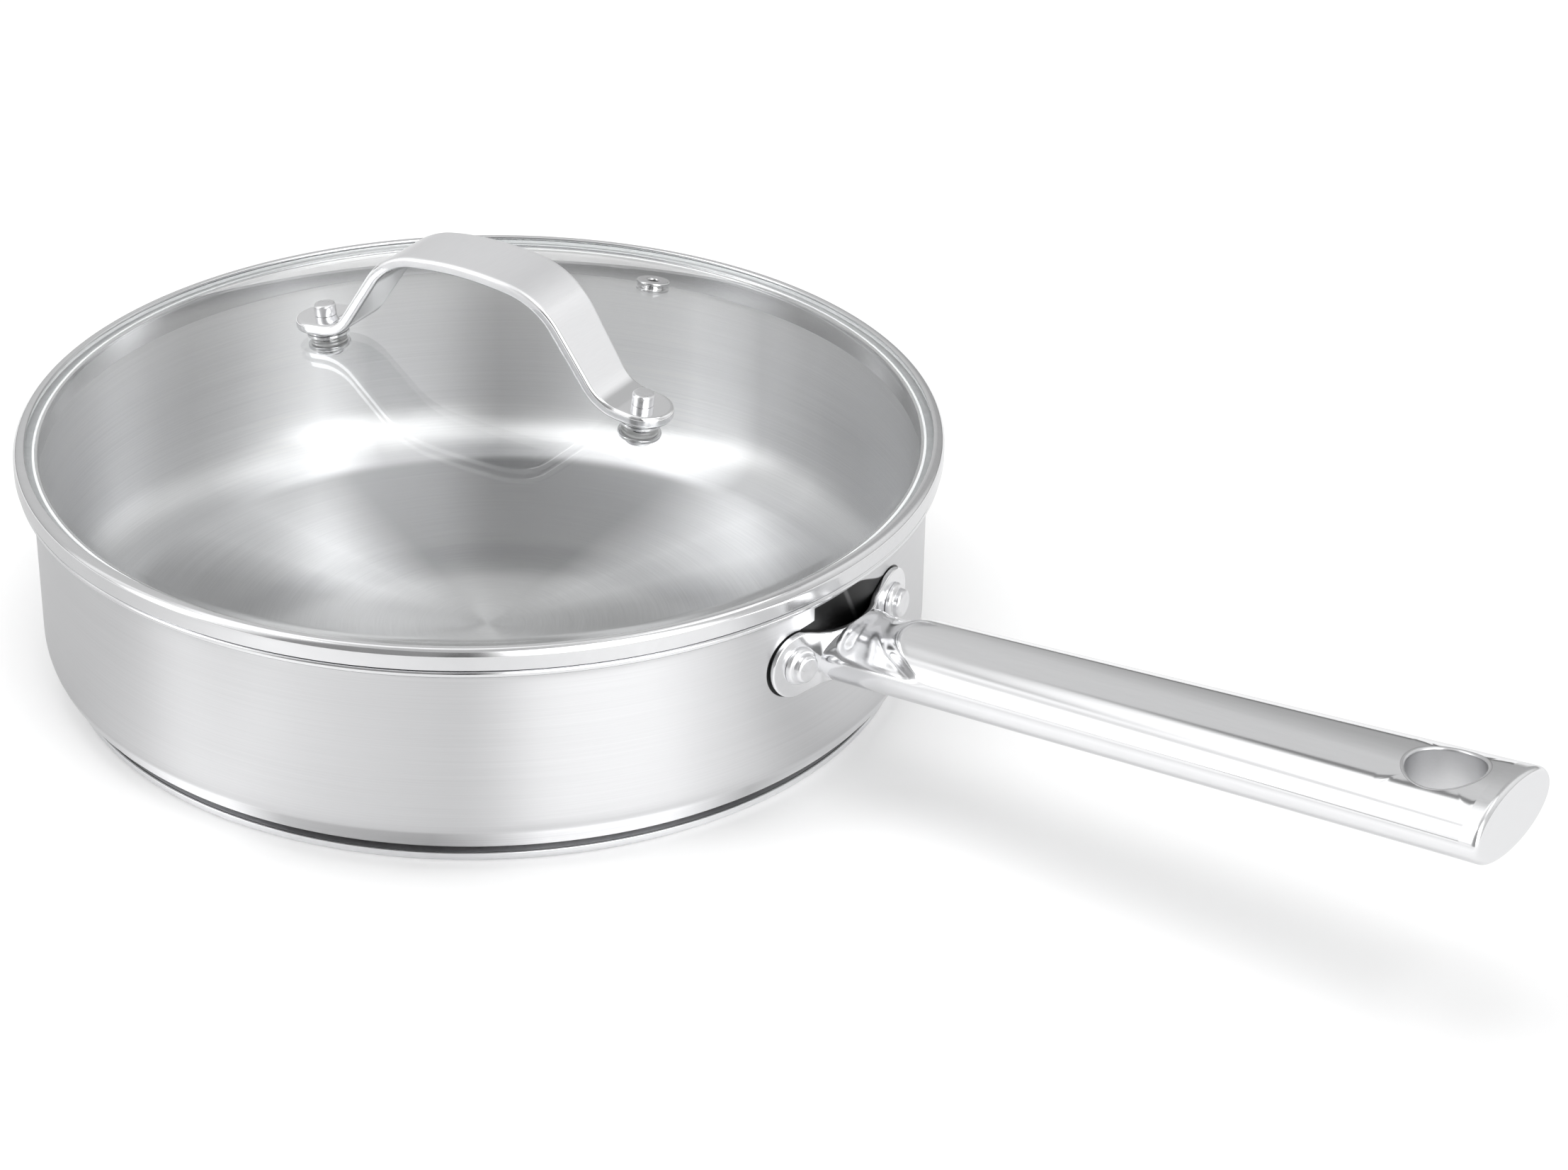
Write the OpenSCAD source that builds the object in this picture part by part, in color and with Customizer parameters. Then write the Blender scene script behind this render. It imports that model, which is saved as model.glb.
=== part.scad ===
// Saute pan with a domed glass lid. Origin at the centre of the base's underside,
// +Z up, long handle along +X. All sizes in millimetres.

/* [Pan] */
// Inside diameter of the straight wall
pan_inner_d = 243; // [200:1:300]
// Thickness of the steel shell
wall_t = 1.0; // [0.8:0.1:1.6]
// Height of the pouring rim above the table
rim_h = 62; // [55:1:90]
// Outside radius between wall and floor
corner_r = 13; // [7:0.5:16]
// How far the pouring rim stands out from the wall
flare_out = 3.5; // [3:0.5:6]

/* [Base] */
// Outside radius of the cap that closes the base, counted in from the wall
cap_inset = 5.8; // [3:0.2:7]
// Thickness of the cap's steel
cap_t = 0.6; // [0.4:0.1:1]
// Thickness of the aluminium core
core_t = 2.0; // [1.5:0.1:5]
// Rounding of the cap's lower edge
cap_edge_r = 1.8; // [1.2:0.1:2]
// Clearance between the core and the cap's rim
core_gap = 0.2; // [0.1:0.1:0.5]

/* [Handle] */
// Height of the handle's axis above the table where it leaves the wall
handle_z = 41.2; // [36:0.2:46]
// Length of the handle from the wall to its end
handle_l = 191.5; // [150:0.5:230]
// Rise of the handle from level, in degrees
handle_rise = 5.5; // [0:0.5:10]
// Half width of the tube at the wall
root_w = 13.4; // [12:0.2:16]
// Half height of the tube at the wall
root_h = 9.6; // [8:0.2:11]
// Half width of the tube at its end
end_w = 19.8; // [16:0.2:22]
// Half height of the tube at its end
end_h = 9.2; // [7:0.2:10]
// Thickness of the tube's sheet
tube_t = 1.2; // [1:0.1:1.6]
// Depth of the hollow pressed into the tube's shoulder behind the saddle
neck_depth = 1.5; // [0.5:0.1:2]
// Distance from the saddle to the end of that hollow
neck_l = 16; // [12:0.5:24]
// How much further the hollow reaches at the tube's sides
neck_side = 8; // [0:0.5:12]
// Length of the end cap
cap_l = 5; // [4:0.5:8]
// Rounding of the end cap's edge
cap_round = 1.6; // [1:0.1:2]
// Length of the plug that holds the cap in the tube
plug_l = 4; // [3:0.5:8]
// Clearance round the plug
plug_gap = 0.1; // [0.05:0.05:0.3]

/* [Hanging eye] */
// Distance of the eye's centre from the handle's end
eye_in = 18; // [17.5:0.5:30]
// Diameter of the hole
eye_d = 19.5; // [12:0.5:20]
// Wall of the sleeve through the tube
eye_t = 1.0; // [0.8:0.1:1.5]
// Clearance between the sleeve and the tube's sheet
eye_gap = 0.05; // [0.05:0.05:0.2]

/* [Saddle] */
// Thickness of the saddle plate that the rivets hold
saddle_t = 1.8; // [1.5:0.1:2.5]
// How far the saddle's middle stands out from the wall
saddle_out = 4.8; // [4.5:0.1:8]
// Radius of that middle in plan
saddle_r = 22; // [18:0.5:30]
// Radius of each ear
ear_r = 9; // [8:0.2:10]
// Height of the rivets above the table
rivet_z = 43.5; // [40:0.5:48]
// Distance of each rivet from the handle's axis
rivet_y = 21.4; // [19:0.2:24]
// Height of the saddle's upper edge above the table, in the middle
band_top = 49; // [46:0.2:52]
// Half width of that upper edge
band_half = 9.4; // [8:0.2:12]

/* [Rivets] */
// Diameter of the rivets' shank
shank_d = 5; // [4:0.5:6]
// Diameter of the outer head
head_d = 10.4; // [9:0.2:12]
// Height of the outer head
head_h = 3.5; // [2:0.1:4.5]
// Rounding of the outer head's edge
head_round = 1.1; // [0.5:0.1:1.5]
// Diameter of the flat head inside the pan
inner_head_d = 11; // [9:0.2:13]
// Height of the flat head inside the pan
inner_head_h = 1.8; // [1.5:0.1:3]
// Rounding of the flat head's edge
inner_round = 1; // [0.5:0.1:1.2]
// Gap between the middle of the flat head and the curved wall
inner_gap = 0.2; // [0.15:0.01:0.3]
// Clearance round the shank
rivet_gap = 0.05; // [0.02:0.01:0.15]

/* [Lid ring] */
// How far the steel ring stands out past the pan's lip
ring_over = 0.5; // [0.2:0.1:2]
// Thickness of the ring's strip
strip_t = 0.8; // [0.6:0.1:1]
// Gap between the resting ring and the pan's rim
seat_gap = 0.3; // [0.2:0.05:0.5]
// Rounding of the ring's upper edge
ring_round = 2.2; // [1.6:0.1:2.6]
// Depth of the skirt that centres the lid in the pan
skirt_h = 5.4; // [4:0.2:7]
// Clearance between the skirt and the pan's wall
skirt_gap = 0.8; // [0.5:0.1:1.2]
// Thickness of the sealant that beds the glass
bed_t = 0.4; // [0.3:0.1:0.8]

/* [Lid glass] */
// Thickness of the glass
glass_t = 4; // [3:0.5:5]
// Height of the dome above its rim
dome_rise = 17.5; // [12:0.5:24]
// Width of the glass's level rim
flat_w = 5; // [4:0.2:7]
// Radius of the curve between the dome and its rim
dome_fillet = 8; // [6:0.5:12]

/* [Lid handle] */
// Angle by which the resting lid is turned on the pan
lid_turn = 5; // [-180:1:180]
// Distance of each post from the lid's centre
post_x = 51.4; // [48:0.2:56]
// Rise of the strap's crown above its feet
strap_rise = 31; // [28:0.5:40]
// Width of the strap at its crown
strap_w = 21.2; // [18:0.2:24]
// Width of the strap's feet
foot_w = 16.4; // [15:0.2:17]
// Thickness of the strap
strap_t = 3.2; // [2.5:0.1:3.6]
// Radius of the crown
crown_r = 98; // [85:1:115]
// Half of the crown's opening angle
crown_a = 9; // [6:0.5:12]
// Radius of the strap's shoulders
shoulder_r = 23.5; // [19:0.5:26]
// Slope of the strap's legs
leg_a = 56.5; // [54:0.5:60]
// Radius between leg and foot
bend_r = 11.5; // [8:0.5:12]
// Length of the foot past the post
toe_l = 8.6; // [8.5:0.1:11]

/* [Lid hardware] */
// Diameter of the visible post
post_d = 6.1; // [5.5:0.1:7]
// Height of the post above the foot
post_h = 3.3; // [2:0.1:5]
// Rounding of the post's upper edge
post_round = 0.7; // [0.3:0.1:1]
// Diameter of the post's sleeve through the glass
sleeve_d = 5; // [4.5:0.1:5.2]
// Diameter of the screw's thread
screw_d = 3; // [2.5:0.5:3.5]
// Diameter of the screw's head
screw_head_d = 8; // [7:0.5:10]
// Height of the screw's head
screw_head_h = 2.2; // [1.8:0.2:3]
// Rounding of the screw's head
screw_round = 1.2; // [0.6:0.1:1.6]
// Width across the corners of the screw's hexagon socket
hex_d = 3.4; // [2.4:0.2:4]
// Depth of the screw's hexagon socket
hex_depth = 1.2; // [0.8:0.1:1.5]
// Diameter of the steel washers
washer_d = 11; // [10.4:0.2:16]
// Thickness of the outer steel washers
washer_t = 1.4; // [0.8:0.1:2]
// Thickness of the inner steel washers
inner_washer_t = 1.0; // [0.8:0.1:1.6]
// Diameter of the rubber gaskets
gasket_d = 12.2; // [11:0.2:14]
// Thickness of the rubber gaskets
gasket_t = 1.0; // [0.6:0.1:1.6]
// Clearance of the sleeves and of the vent's neck in their holes
sleeve_gap = 0.3; // [0.2:0.05:0.5]
// Clearance left between pieces that are clamped together
clamp_gap = 0.05; // [0.05:0.01:0.1]
// Clearance between the flat inner gaskets and the curved underside of the glass
seat_clear = 0.2; // [0.15:0.05:0.3]

/* [Vent] */
// Distance of the vent from the edge of the glass
vent_in = 38; // [30:0.1:50]
// Diameter of the vent's hole
vent_d = 3.4; // [2.4:0.2:4]
// Diameter of the vent's rolled flange
vent_flange_d = 9.6; // [8.6:0.2:11]
// Height of the rolled flange above the glass
vent_flange_h = 1.3; // [0.8:0.1:1.8]
// Diameter of the vent's neck through the glass
vent_neck_d = 5.4; // [5:0.1:5.8]
// Thickness of the washer under the glass
vent_washer_t = 0.8; // [0.6:0.1:1.2]
// Size of the curl that holds that washer
vent_curl = 0.5; // [0.3:0.1:0.8]

/* [Hidden] */
round_fn = 96;
hole_fn = 48;
arc_step = 7;
dome_steps = 12;
through = 40;

// Pan
wall_r = pan_inner_d / 2 + wall_t;
shell_z = cap_t + core_t;
cap_r = wall_r - cap_inset;
flare_z = rim_h - flare_out - wall_t;
lip_r = wall_r + flare_out;

// Handle: its own frame starts on the pan's axis and is tilted by handle_rise
handle_end = wall_r + handle_l;
tube_start = wall_r - 2 * saddle_t;
tube_end = handle_end - cap_l;
tube_rings = 30;
tube_sides = 48;
tube_power = 2.05;
saddle_x = wall_r + saddle_out;
neck_x = saddle_x + neck_l;
neck_fade = neck_l * 0.55;
neck_start = 5;
eye_x = handle_end - eye_in;
saddle_cx = saddle_x - saddle_r;
rivet_a = asin(rivet_y / (wall_r + saddle_t));

// Lid
ring_r = lip_r + wall_t / 2 + ring_over;
ring_z = rim_h + seat_gap;
skirt_r = wall_r - wall_t - skirt_gap;
glass_z = ring_z + strip_t + bed_t;
ring_top = glass_z + glass_t + strip_t;
glass_r = ring_r - strip_t - bed_t;
edge_round = ring_round - strip_t;
rim_plane = glass_z + glass_t;
dome_edge = glass_r - flat_w;
dome_r = (dome_edge * dome_edge + dome_rise * dome_rise) / (2 * dome_rise);
dome_z = rim_plane + dome_rise - dome_r;
dome_slope = asin(dome_edge / dome_r);
flat_start = dome_edge + dome_fillet * tan(dome_slope / 2);
lip_in = flat_start + strip_t;
bed_in = flat_start - strip_t;

// Posts stand square on the dome, so their axes lean outwards by this angle
post_lean = asin(post_x / dome_r);
gasket_top = washer_t + gasket_t;
foot_top = gasket_top + strap_t;
inner_bottom = -glass_t - gasket_t;
hole_r = sleeve_d / 2 + sleeve_gap;
tip_gap = 1;
vent_lean = asin((glass_r - vent_in) / dome_r);
vent_hole_r = vent_neck_d / 2 + sleeve_gap;
vent_bottom = -glass_t - vent_washer_t;

// Points of an arc round [cx, cy] from angle a0 to a1
function arc(cx, cy, r, a0, a1) =
    let (n = max(2, ceil(abs(a1 - a0) / arc_step)))
    [for (i = [0:n]) [cx + r * cos(a0 + (a1 - a0) * i / n), cy + r * sin(a0 + (a1 - a0) * i / n)]];

module base_cap() {
    color("silver")
    rotate_extrude($fn = round_fn)
    polygon(concat(
        [[0, 0]],
        arc(cap_r - cap_edge_r, cap_edge_r, cap_edge_r, -90, 0),
        [[cap_r, shell_z], [cap_r - cap_t, shell_z]],
        arc(cap_r - cap_edge_r, cap_edge_r, cap_edge_r - cap_t, 0, -90),
        [[0, cap_t]]));
}

module base_core() {
    color("darkgray")
    rotate_extrude($fn = round_fn)
    polygon(concat(
        [[0, cap_t], [cap_r - cap_edge_r, cap_t], [cap_r - cap_t - core_gap, cap_edge_r],
            [cap_r - cap_t - core_gap, shell_z], [0, shell_z]]));
}

// The wall: flat floor, round corner, straight side and a flared lip with a round edge
module pan_shell() {
    color("gainsboro")
    difference() {
        rotate_extrude($fn = round_fn)
        polygon(concat(
            [[0, shell_z]],
            arc(wall_r - corner_r, shell_z + corner_r, corner_r, -90, 0),
            arc(lip_r, flare_z, flare_out, 180, 90),
            arc(lip_r, rim_h - wall_t / 2, wall_t / 2, -60, 90),
            arc(lip_r, flare_z, flare_out + wall_t, 96, 180),
            arc(wall_r - corner_r, shell_z + corner_r, corner_r - wall_t, 0, -90),
            [[0, shell_z + wall_t]]));
        at_rivets() cylinder(d = shank_d + 2 * rivet_gap, h = through, center = true, $fn = hole_fn);
    }
}

// Places its children on the wall at both rivets, with +Z pointing out of the wall
module at_rivets() {
    for (side = [-1, 1])
        rotate([0, 0, side * rivet_a])
        translate([wall_r, 0, rivet_z])
        rotate([0, 90, 0])
        children();
}

// Plan of everything behind the saddle's outer face
module saddle_plan() {
    circle(wall_r + saddle_t, $fn = round_fn * 2);
    translate([saddle_cx, 0]) circle(saddle_r, $fn = round_fn);
}

module saddle_blank() {
    intersection() {
        linear_extrude(rim_h) saddle_plan();
        translate([saddle_cx, 0, 0])
        rotate([90, 0, 90])
        linear_extrude(saddle_r + 1)
        saddle_front();
    }
}

// Outline seen along the handle: two round ears, a band between them and the tube's own root
module saddle_front() {
    face_z = handle_z + saddle_out * tan(handle_rise);
    for (side = [-1, 1]) translate([side * rivet_y, rivet_z]) circle(ear_r, $fn = round_fn);
    polygon([
        [-rivet_y, rivet_z - ear_r],
        [rivet_y, rivet_z - ear_r],
        [rivet_y, rivet_z + ear_r],
        [band_half, band_top],
        [-band_half, band_top],
        [-rivet_y, rivet_z + ear_r]]);
    polygon([for (p = tube_ring(saddle_x, 0)) [p[1], min(band_top, p[2] + face_z)]]);
}

module handle_saddle() {
    color("silver")
    difference() {
        saddle_blank();
        cylinder(r = wall_r, h = rim_h, $fn = round_fn * 2);
        translate([saddle_cx, 0, 0]) cylinder(r = saddle_r - saddle_t, h = rim_h, $fn = round_fn);
        at_rivets() cylinder(d = shank_d + 2 * rivet_gap, h = through, center = true, $fn = hole_fn);
    }
}

// Children are drawn along the tilted axis, which crosses the wall at handle_z
module along_handle() {
    translate([wall_r, 0, handle_z])
    rotate([0, -handle_rise, 0])
    translate([-wall_r, 0, 0])
    children();
}

function blend(x) = let (c = min(1, max(0, x))) c * c * (3 - 2 * c);
function share(x) = (x - wall_r) / (handle_end - wall_r);
function half_w(x) = root_w + (end_w - root_w) * share(x);
function half_h(x) = root_h + (end_h - root_h) * share(x);
function power(v) = sign(v) * pow(abs(v), 2 / tube_power);

// The neck pressed into the tube's upper side: it ends in a tongue on top and further out at the sides
function neck(x, a) =
    let (up = blend(sin(a) * 2 + 0.6),
        tongue = neck_x + neck_side * (1 - max(0, sin(a))),
        start = blend((saddle_x + neck_start - x) / neck_start))
    neck_depth * up * (1 - blend((x - tongue + neck_fade) / neck_fade)) * (1 - start / 2);

// One ring of the tube at x, drawn in by inset
function tube_ring(x, inset) =
    [for (i = [0:tube_sides - 1])
        let (a = 360 * i / tube_sides, cut = inset + neck(x, a))
        [x, (half_w(x) - cut) * power(cos(a)), (half_h(x) - cut) * power(sin(a))]];

// A closed body through rings of equal point count, each running anticlockwise seen from +X
module skin(rings) {
    n = len(rings[0]);
    m = len(rings);
    sides = [for (j = [0:m - 2]) for (i = [0:n - 1])
        let (k = (i + 1) % n, a = j * n + i, b = j * n + k, c = (j + 1) * n + k, d = (j + 1) * n + i)
        each [[c, b, a], [d, c, a]]];
    first = [for (i = [0:n - 1]) i];
    last = [for (i = [n - 1:-1:0]) (m - 1) * n + i];
    polyhedron([for (ring = rings) each ring], concat(sides, [first], [last]), convexity = 4);
}

// The solid of the tube between two stations, drawn in by inset
module tube_skin(x0, x1, count, inset) {
    skin([for (i = [0:count]) tube_ring(x0 + (x1 - x0) * i / count, inset)]);
}

module handle_tube() {
    color("lightgray")
    difference() {
        along_handle() tube_skin(tube_start, tube_end, tube_rings, 0);
        along_handle() tube_skin(tube_start - 1, tube_end + 1, tube_rings, tube_t);
        linear_extrude(rim_h * 2) saddle_plan();
        along_handle() eye_bore(eye_d / 2 + eye_t + eye_gap);
    }
}

module eye_bore(r) {
    translate([eye_x, 0, 0]) cylinder(r = r, h = through, center = true, $fn = round_fn);
}

module handle_end_cap() {
    color("silver")
    along_handle()
    difference() {
        skin(concat(
            [for (x = [tube_end - plug_l, tube_end]) tube_ring(x, tube_t + plug_gap)],
            [for (x = [tube_end, handle_end - cap_round]) tube_ring(x, 0)],
            [for (a = [15:15:90])
                tube_ring(handle_end - cap_round * (1 - sin(a)), cap_round * (1 - cos(a)))]));
        eye_bore(eye_d / 2 + eye_t + plug_gap);
    }
}

module hanging_eye() {
    color("gray")
    along_handle()
    difference() {
        intersection() {
            eye_bore(eye_d / 2 + eye_t);
            tube_skin(eye_x - eye_d, tube_end, 8, 0);
        }
        eye_bore(eye_d / 2);
    }
}

module handle_rivets() {
    inner_face = -wall_t - inner_gap;
    color("silver")
    at_rivets()
    rotate_extrude($fn = round_fn)
    polygon(concat(
        [[0, inner_face - inner_head_h]],
        arc(inner_head_d / 2 - inner_round, inner_face - inner_head_h + inner_round, inner_round, -90, 0),
        [[inner_head_d / 2, inner_face], [shank_d / 2, inner_face], [shank_d / 2, saddle_t],
            [head_d / 2, saddle_t]],
        arc(head_d / 2 - head_round, saddle_t + head_h - head_round, head_round, 0, 90),
        [[0, saddle_t + head_h]]));
}

// Everything on the lid turns together on the pan
module on_lid() {
    rotate([0, 0, lid_turn]) children();
}

// A rolled strip: skirt inside the pan, seat on the rim, outer band and a lip over the glass
module lid_ring() {
    color("whitesmoke")
    rotate_extrude($fn = round_fn)
    polygon(concat(
        [[skirt_r - strip_t, ring_z - skirt_h], [skirt_r, ring_z - skirt_h], [skirt_r, ring_z]],
        arc(ring_r - strip_t, ring_z + strip_t, strip_t, -90, 0),
        arc(ring_r - ring_round, ring_top - ring_round, ring_round, 0, 90),
        arc(lip_in, ring_top - strip_t / 2, strip_t / 2, 90, 270),
        arc(ring_r - ring_round, ring_top - ring_round, edge_round, 90, 0),
        [[ring_r - strip_t, ring_z + strip_t], [skirt_r - strip_t, ring_z + strip_t]]));
}

// Half section of the glass: dome, curve and level rim, of even thickness
function glass_section(top, bottom) = concat(
    [for (i = [0:dome_steps]) let (a = dome_slope * i / dome_steps)
        [(dome_r + top) * sin(a), dome_z + (dome_r + top) * cos(a)]],
    arc(flat_start, rim_plane + dome_fillet, dome_fillet - top, 270 - dome_slope, 270),
    arc(glass_r - edge_round, rim_plane + top - edge_round, edge_round, 90, 0),
    arc(glass_r - edge_round, rim_plane - bottom + edge_round, edge_round, 0, -90),
    arc(flat_start, rim_plane + dome_fillet, dome_fillet + bottom, 270, 270 - dome_slope),
    [for (i = [dome_steps:-1:0]) let (a = dome_slope * i / dome_steps)
        [(dome_r - bottom) * sin(a), dome_z + (dome_r - bottom) * cos(a)]]);

module lid_glass() {
    color("lightcyan", 0.35)
    on_lid()
    difference() {
        rotate_extrude($fn = round_fn) polygon(glass_section(0, glass_t));
        at_posts() cylinder(r = hole_r, h = through, center = true, $fn = hole_fn);
        at_vent() cylinder(r = vent_hole_r, h = through, center = true, $fn = hole_fn);
    }
}

module glass_bedding() {
    color("white")
    rotate_extrude($fn = round_fn)
    polygon([
        [bed_in, ring_z + strip_t],
        [ring_r - strip_t, ring_z + strip_t],
        [ring_r - strip_t, rim_plane - edge_round],
        [glass_r, rim_plane - edge_round],
        [glass_r, glass_z],
        [bed_in, glass_z]]);
}

// Both posts: +Z points out of the dome and z = 0 lies on its outer face
module at_posts() {
    for (side = [-1, 1])
        translate([0, 0, dome_z])
        rotate([0, side * post_lean, 0])
        translate([0, 0, dome_r])
        children();
}

module at_vent() {
    translate([0, 0, dome_z])
    rotate([-vent_lean, 0, 0])
    translate([0, 0, dome_r])
    children();
}

module vent_eyelet() {
    roll = vent_flange_h / 2;
    throat = roll * 1.2;
    color("silver")
    on_lid()
    at_vent()
    rotate_extrude($fn = round_fn)
    polygon(concat(
        [[vent_d / 2, vent_bottom - vent_curl], [vent_neck_d / 2 + vent_curl, vent_bottom - vent_curl],
            [vent_neck_d / 2 + vent_curl, vent_bottom], [vent_neck_d / 2, vent_bottom],
            [vent_neck_d / 2, clamp_gap]],
        arc(vent_flange_d / 2 - roll, roll + clamp_gap, roll, -90, 90),
        arc(vent_d / 2 + throat, roll, throat, 75, 180)));
}

module vent_washer() {
    color("silver")
    on_lid()
    at_vent()
    translate([0, 0, vent_bottom])
    difference() {
        cylinder(d = vent_flange_d, h = vent_washer_t - 2 * clamp_gap, $fn = round_fn);
        cylinder(d = vent_neck_d + 2 * clamp_gap, h = through, center = true, $fn = hole_fn);
    }
}

// Side view of the strap. The foot's top meets the post's axis at foot_x, foot_z.
foot_x = (dome_r + foot_top) * sin(post_lean);
foot_z = dome_z + (dome_r + foot_top) * cos(post_lean);
crown_z = foot_z + strap_rise;
crown_dx = crown_r * sin(crown_a);
crown_dz = crown_r * (1 - cos(crown_a));
shoulder_dx = shoulder_r * (sin(leg_a) - sin(crown_a));
shoulder_dz = shoulder_r * (cos(crown_a) - cos(leg_a));
bend_dx = bend_r * (sin(leg_a) - sin(post_lean));
bend_dz = bend_r * (cos(post_lean) - cos(leg_a));
leg_l = (strap_rise - crown_dz - shoulder_dz - bend_dz
    - (foot_x - crown_dx - shoulder_dx - bend_dx) * tan(post_lean))
    / (sin(leg_a) - cos(leg_a) * tan(post_lean));
leg_x = crown_dx + shoulder_dx;
leg_z = crown_z - crown_dz - shoulder_dz;
bend_x = leg_x + leg_l * cos(leg_a);
bend_z = leg_z - leg_l * sin(leg_a);
taper_start = crown_dx * 0.6;
taper_end = foot_x - post_d / 2;
taper_steps = 8;

// Right half of the strap's face at depth d under its top, from the crown to the toe
function strap_half(d) = concat(
    arc(0, crown_z - crown_r, crown_r - d, 90, 90 - crown_a),
    arc(crown_dx - shoulder_r * sin(crown_a), crown_z - crown_dz - shoulder_r * cos(crown_a),
        shoulder_r - d, 90 - crown_a, 90 - leg_a),
    arc(bend_x + bend_r * sin(leg_a), bend_z + bend_r * cos(leg_a), bend_r + d, 270 - leg_a, 270 - post_lean),
    [[foot_x + toe_l * cos(post_lean) - d * sin(post_lean),
        foot_z - toe_l * sin(post_lean) - d * cos(post_lean)]]);
function flipped(points) = [for (i = [len(points) - 1:-1:0]) [-points[i][0], points[i][1]]];

module lid_strap() {
    upper = strap_half(0);
    lower = strap_half(strap_t);
    color("gainsboro")
    on_lid()
    difference() {
        intersection() {
            translate([0, strap_w / 2, 0])
            rotate([90, 0, 0])
            linear_extrude(strap_w)
            polygon(concat(
                flipped(upper),
                [for (i = [1:len(upper) - 1]) upper[i]],
                [for (i = [len(lower) - 1:-1:0]) lower[i]],
                [for (i = [1:len(lower) - 1]) [-lower[i][0], lower[i][1]]]));
            linear_extrude(crown_z + 1) strap_plan();
        }
        at_posts() cylinder(r = hole_r, h = through, center = true, $fn = hole_fn);
    }
}

// Half width of the strap, whose sides draw in from the crown to the posts
function strap_side(x) =
    (strap_w + (foot_w - strap_w) * blend((x - taper_start) / (taper_end - taper_start))) / 2;

// Plan of the strap with a round toe about each post
module strap_plan() {
    toe_x = foot_x + toe_l - foot_w / 2;
    right = [for (i = [0:taper_steps]) let (x = taper_start + (taper_end - taper_start) * i / taper_steps)
        [x, strap_side(x)]];
    far = concat([[toe_x, foot_w / 2]], [for (i = [taper_steps:-1:0]) right[i]],
        [for (p = right) [-p[0], p[1]]], [[-toe_x, foot_w / 2]]);
    polygon(concat([for (i = [len(far) - 1:-1:0]) [far[i][0], -far[i][1]]], far));
    for (side = [-1, 1]) translate([side * toe_x, 0]) circle(d = foot_w, $fn = round_fn);
}

module strap_posts() {
    color("silver")
    on_lid()
    at_posts()
    difference() {
        rotate_extrude($fn = round_fn)
        polygon(concat(
            [[0, -glass_t], [sleeve_d / 2, -glass_t], [sleeve_d / 2, foot_top],
                [post_d / 2, foot_top + clamp_gap]],
            arc(post_d / 2 - post_round, foot_top + post_h - post_round, post_round, 0, 90),
            [[0, foot_top + post_h]]));
        translate([0, 0, gasket_top + tip_gap - through])
        cylinder(d = screw_d + 2 * clamp_gap, h = through, $fn = hole_fn);
    }
}

module outer_washers() {
    color("whitesmoke")
    on_lid()
    at_posts()
    difference() {
        cylinder(d = washer_d, h = washer_t, $fn = round_fn);
        cylinder(r = hole_r, h = through, center = true, $fn = hole_fn);
    }
}

module outer_gaskets() {
    color("dimgray")
    on_lid()
    at_posts()
    translate([0, 0, washer_t])
    difference() {
        cylinder(d = gasket_d, h = gasket_t, $fn = round_fn);
        cylinder(r = hole_r, h = through, center = true, $fn = hole_fn);
    }
}

module inner_gaskets() {
    color("dimgray")
    on_lid()
    at_posts()
    translate([0, 0, inner_bottom])
    difference() {
        cylinder(d = gasket_d, h = gasket_t - seat_clear, $fn = round_fn);
        cylinder(r = hole_r, h = through, center = true, $fn = hole_fn);
    }
}

module inner_washers() {
    color("silver")
    on_lid()
    at_posts()
    translate([0, 0, inner_bottom - inner_washer_t])
    difference() {
        cylinder(d = washer_d, h = inner_washer_t, $fn = round_fn);
        cylinder(d = screw_d + 2 * sleeve_gap, h = through, center = true, $fn = hole_fn);
    }
}

module strap_screws() {
    under = inner_bottom - inner_washer_t;
    color("silver")
    on_lid()
    at_posts()
    difference() {
        rotate_extrude($fn = round_fn)
        polygon(concat(
            [[0, under - screw_head_h]],
            arc(screw_head_d / 2 - screw_round, under - screw_head_h + screw_round, screw_round, -90, 0),
            [[screw_head_d / 2, under], [screw_d / 2, under]],
            [[screw_d / 2, gasket_top], [0, gasket_top]]));
        translate([0, 0, under - screw_head_h + hex_depth - through])
        cylinder(d = hex_d, h = through, $fn = 6);
    }
}

base_cap();
base_core();
pan_shell();
handle_saddle();
handle_tube();
handle_end_cap();
hanging_eye();
handle_rivets();
lid_ring();
lid_glass();
glass_bedding();
vent_eyelet();
vent_washer();
lid_strap();
strap_posts();
outer_gaskets();
outer_washers();
inner_gaskets();
inner_washers();
strap_screws();
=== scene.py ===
# Saute pan with a glass lid: the finished surfaces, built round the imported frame.
# Sizes are in millimetres and become metres where a mesh is made.
import bmesh
import bpy
import numpy as np
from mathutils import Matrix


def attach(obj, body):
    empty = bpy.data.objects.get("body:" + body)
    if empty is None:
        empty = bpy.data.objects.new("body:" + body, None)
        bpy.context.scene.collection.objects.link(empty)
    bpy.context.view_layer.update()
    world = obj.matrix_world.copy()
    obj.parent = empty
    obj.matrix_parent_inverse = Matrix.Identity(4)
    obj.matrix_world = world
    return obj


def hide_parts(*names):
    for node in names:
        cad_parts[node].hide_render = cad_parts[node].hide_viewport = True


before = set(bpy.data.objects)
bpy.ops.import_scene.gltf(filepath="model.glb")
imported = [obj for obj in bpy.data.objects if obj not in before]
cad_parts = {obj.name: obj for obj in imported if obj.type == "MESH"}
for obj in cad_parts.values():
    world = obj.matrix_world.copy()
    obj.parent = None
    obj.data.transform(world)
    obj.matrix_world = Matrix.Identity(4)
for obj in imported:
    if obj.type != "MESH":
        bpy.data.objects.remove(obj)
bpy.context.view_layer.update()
print("frame loaded")

mm = 0.001

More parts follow.
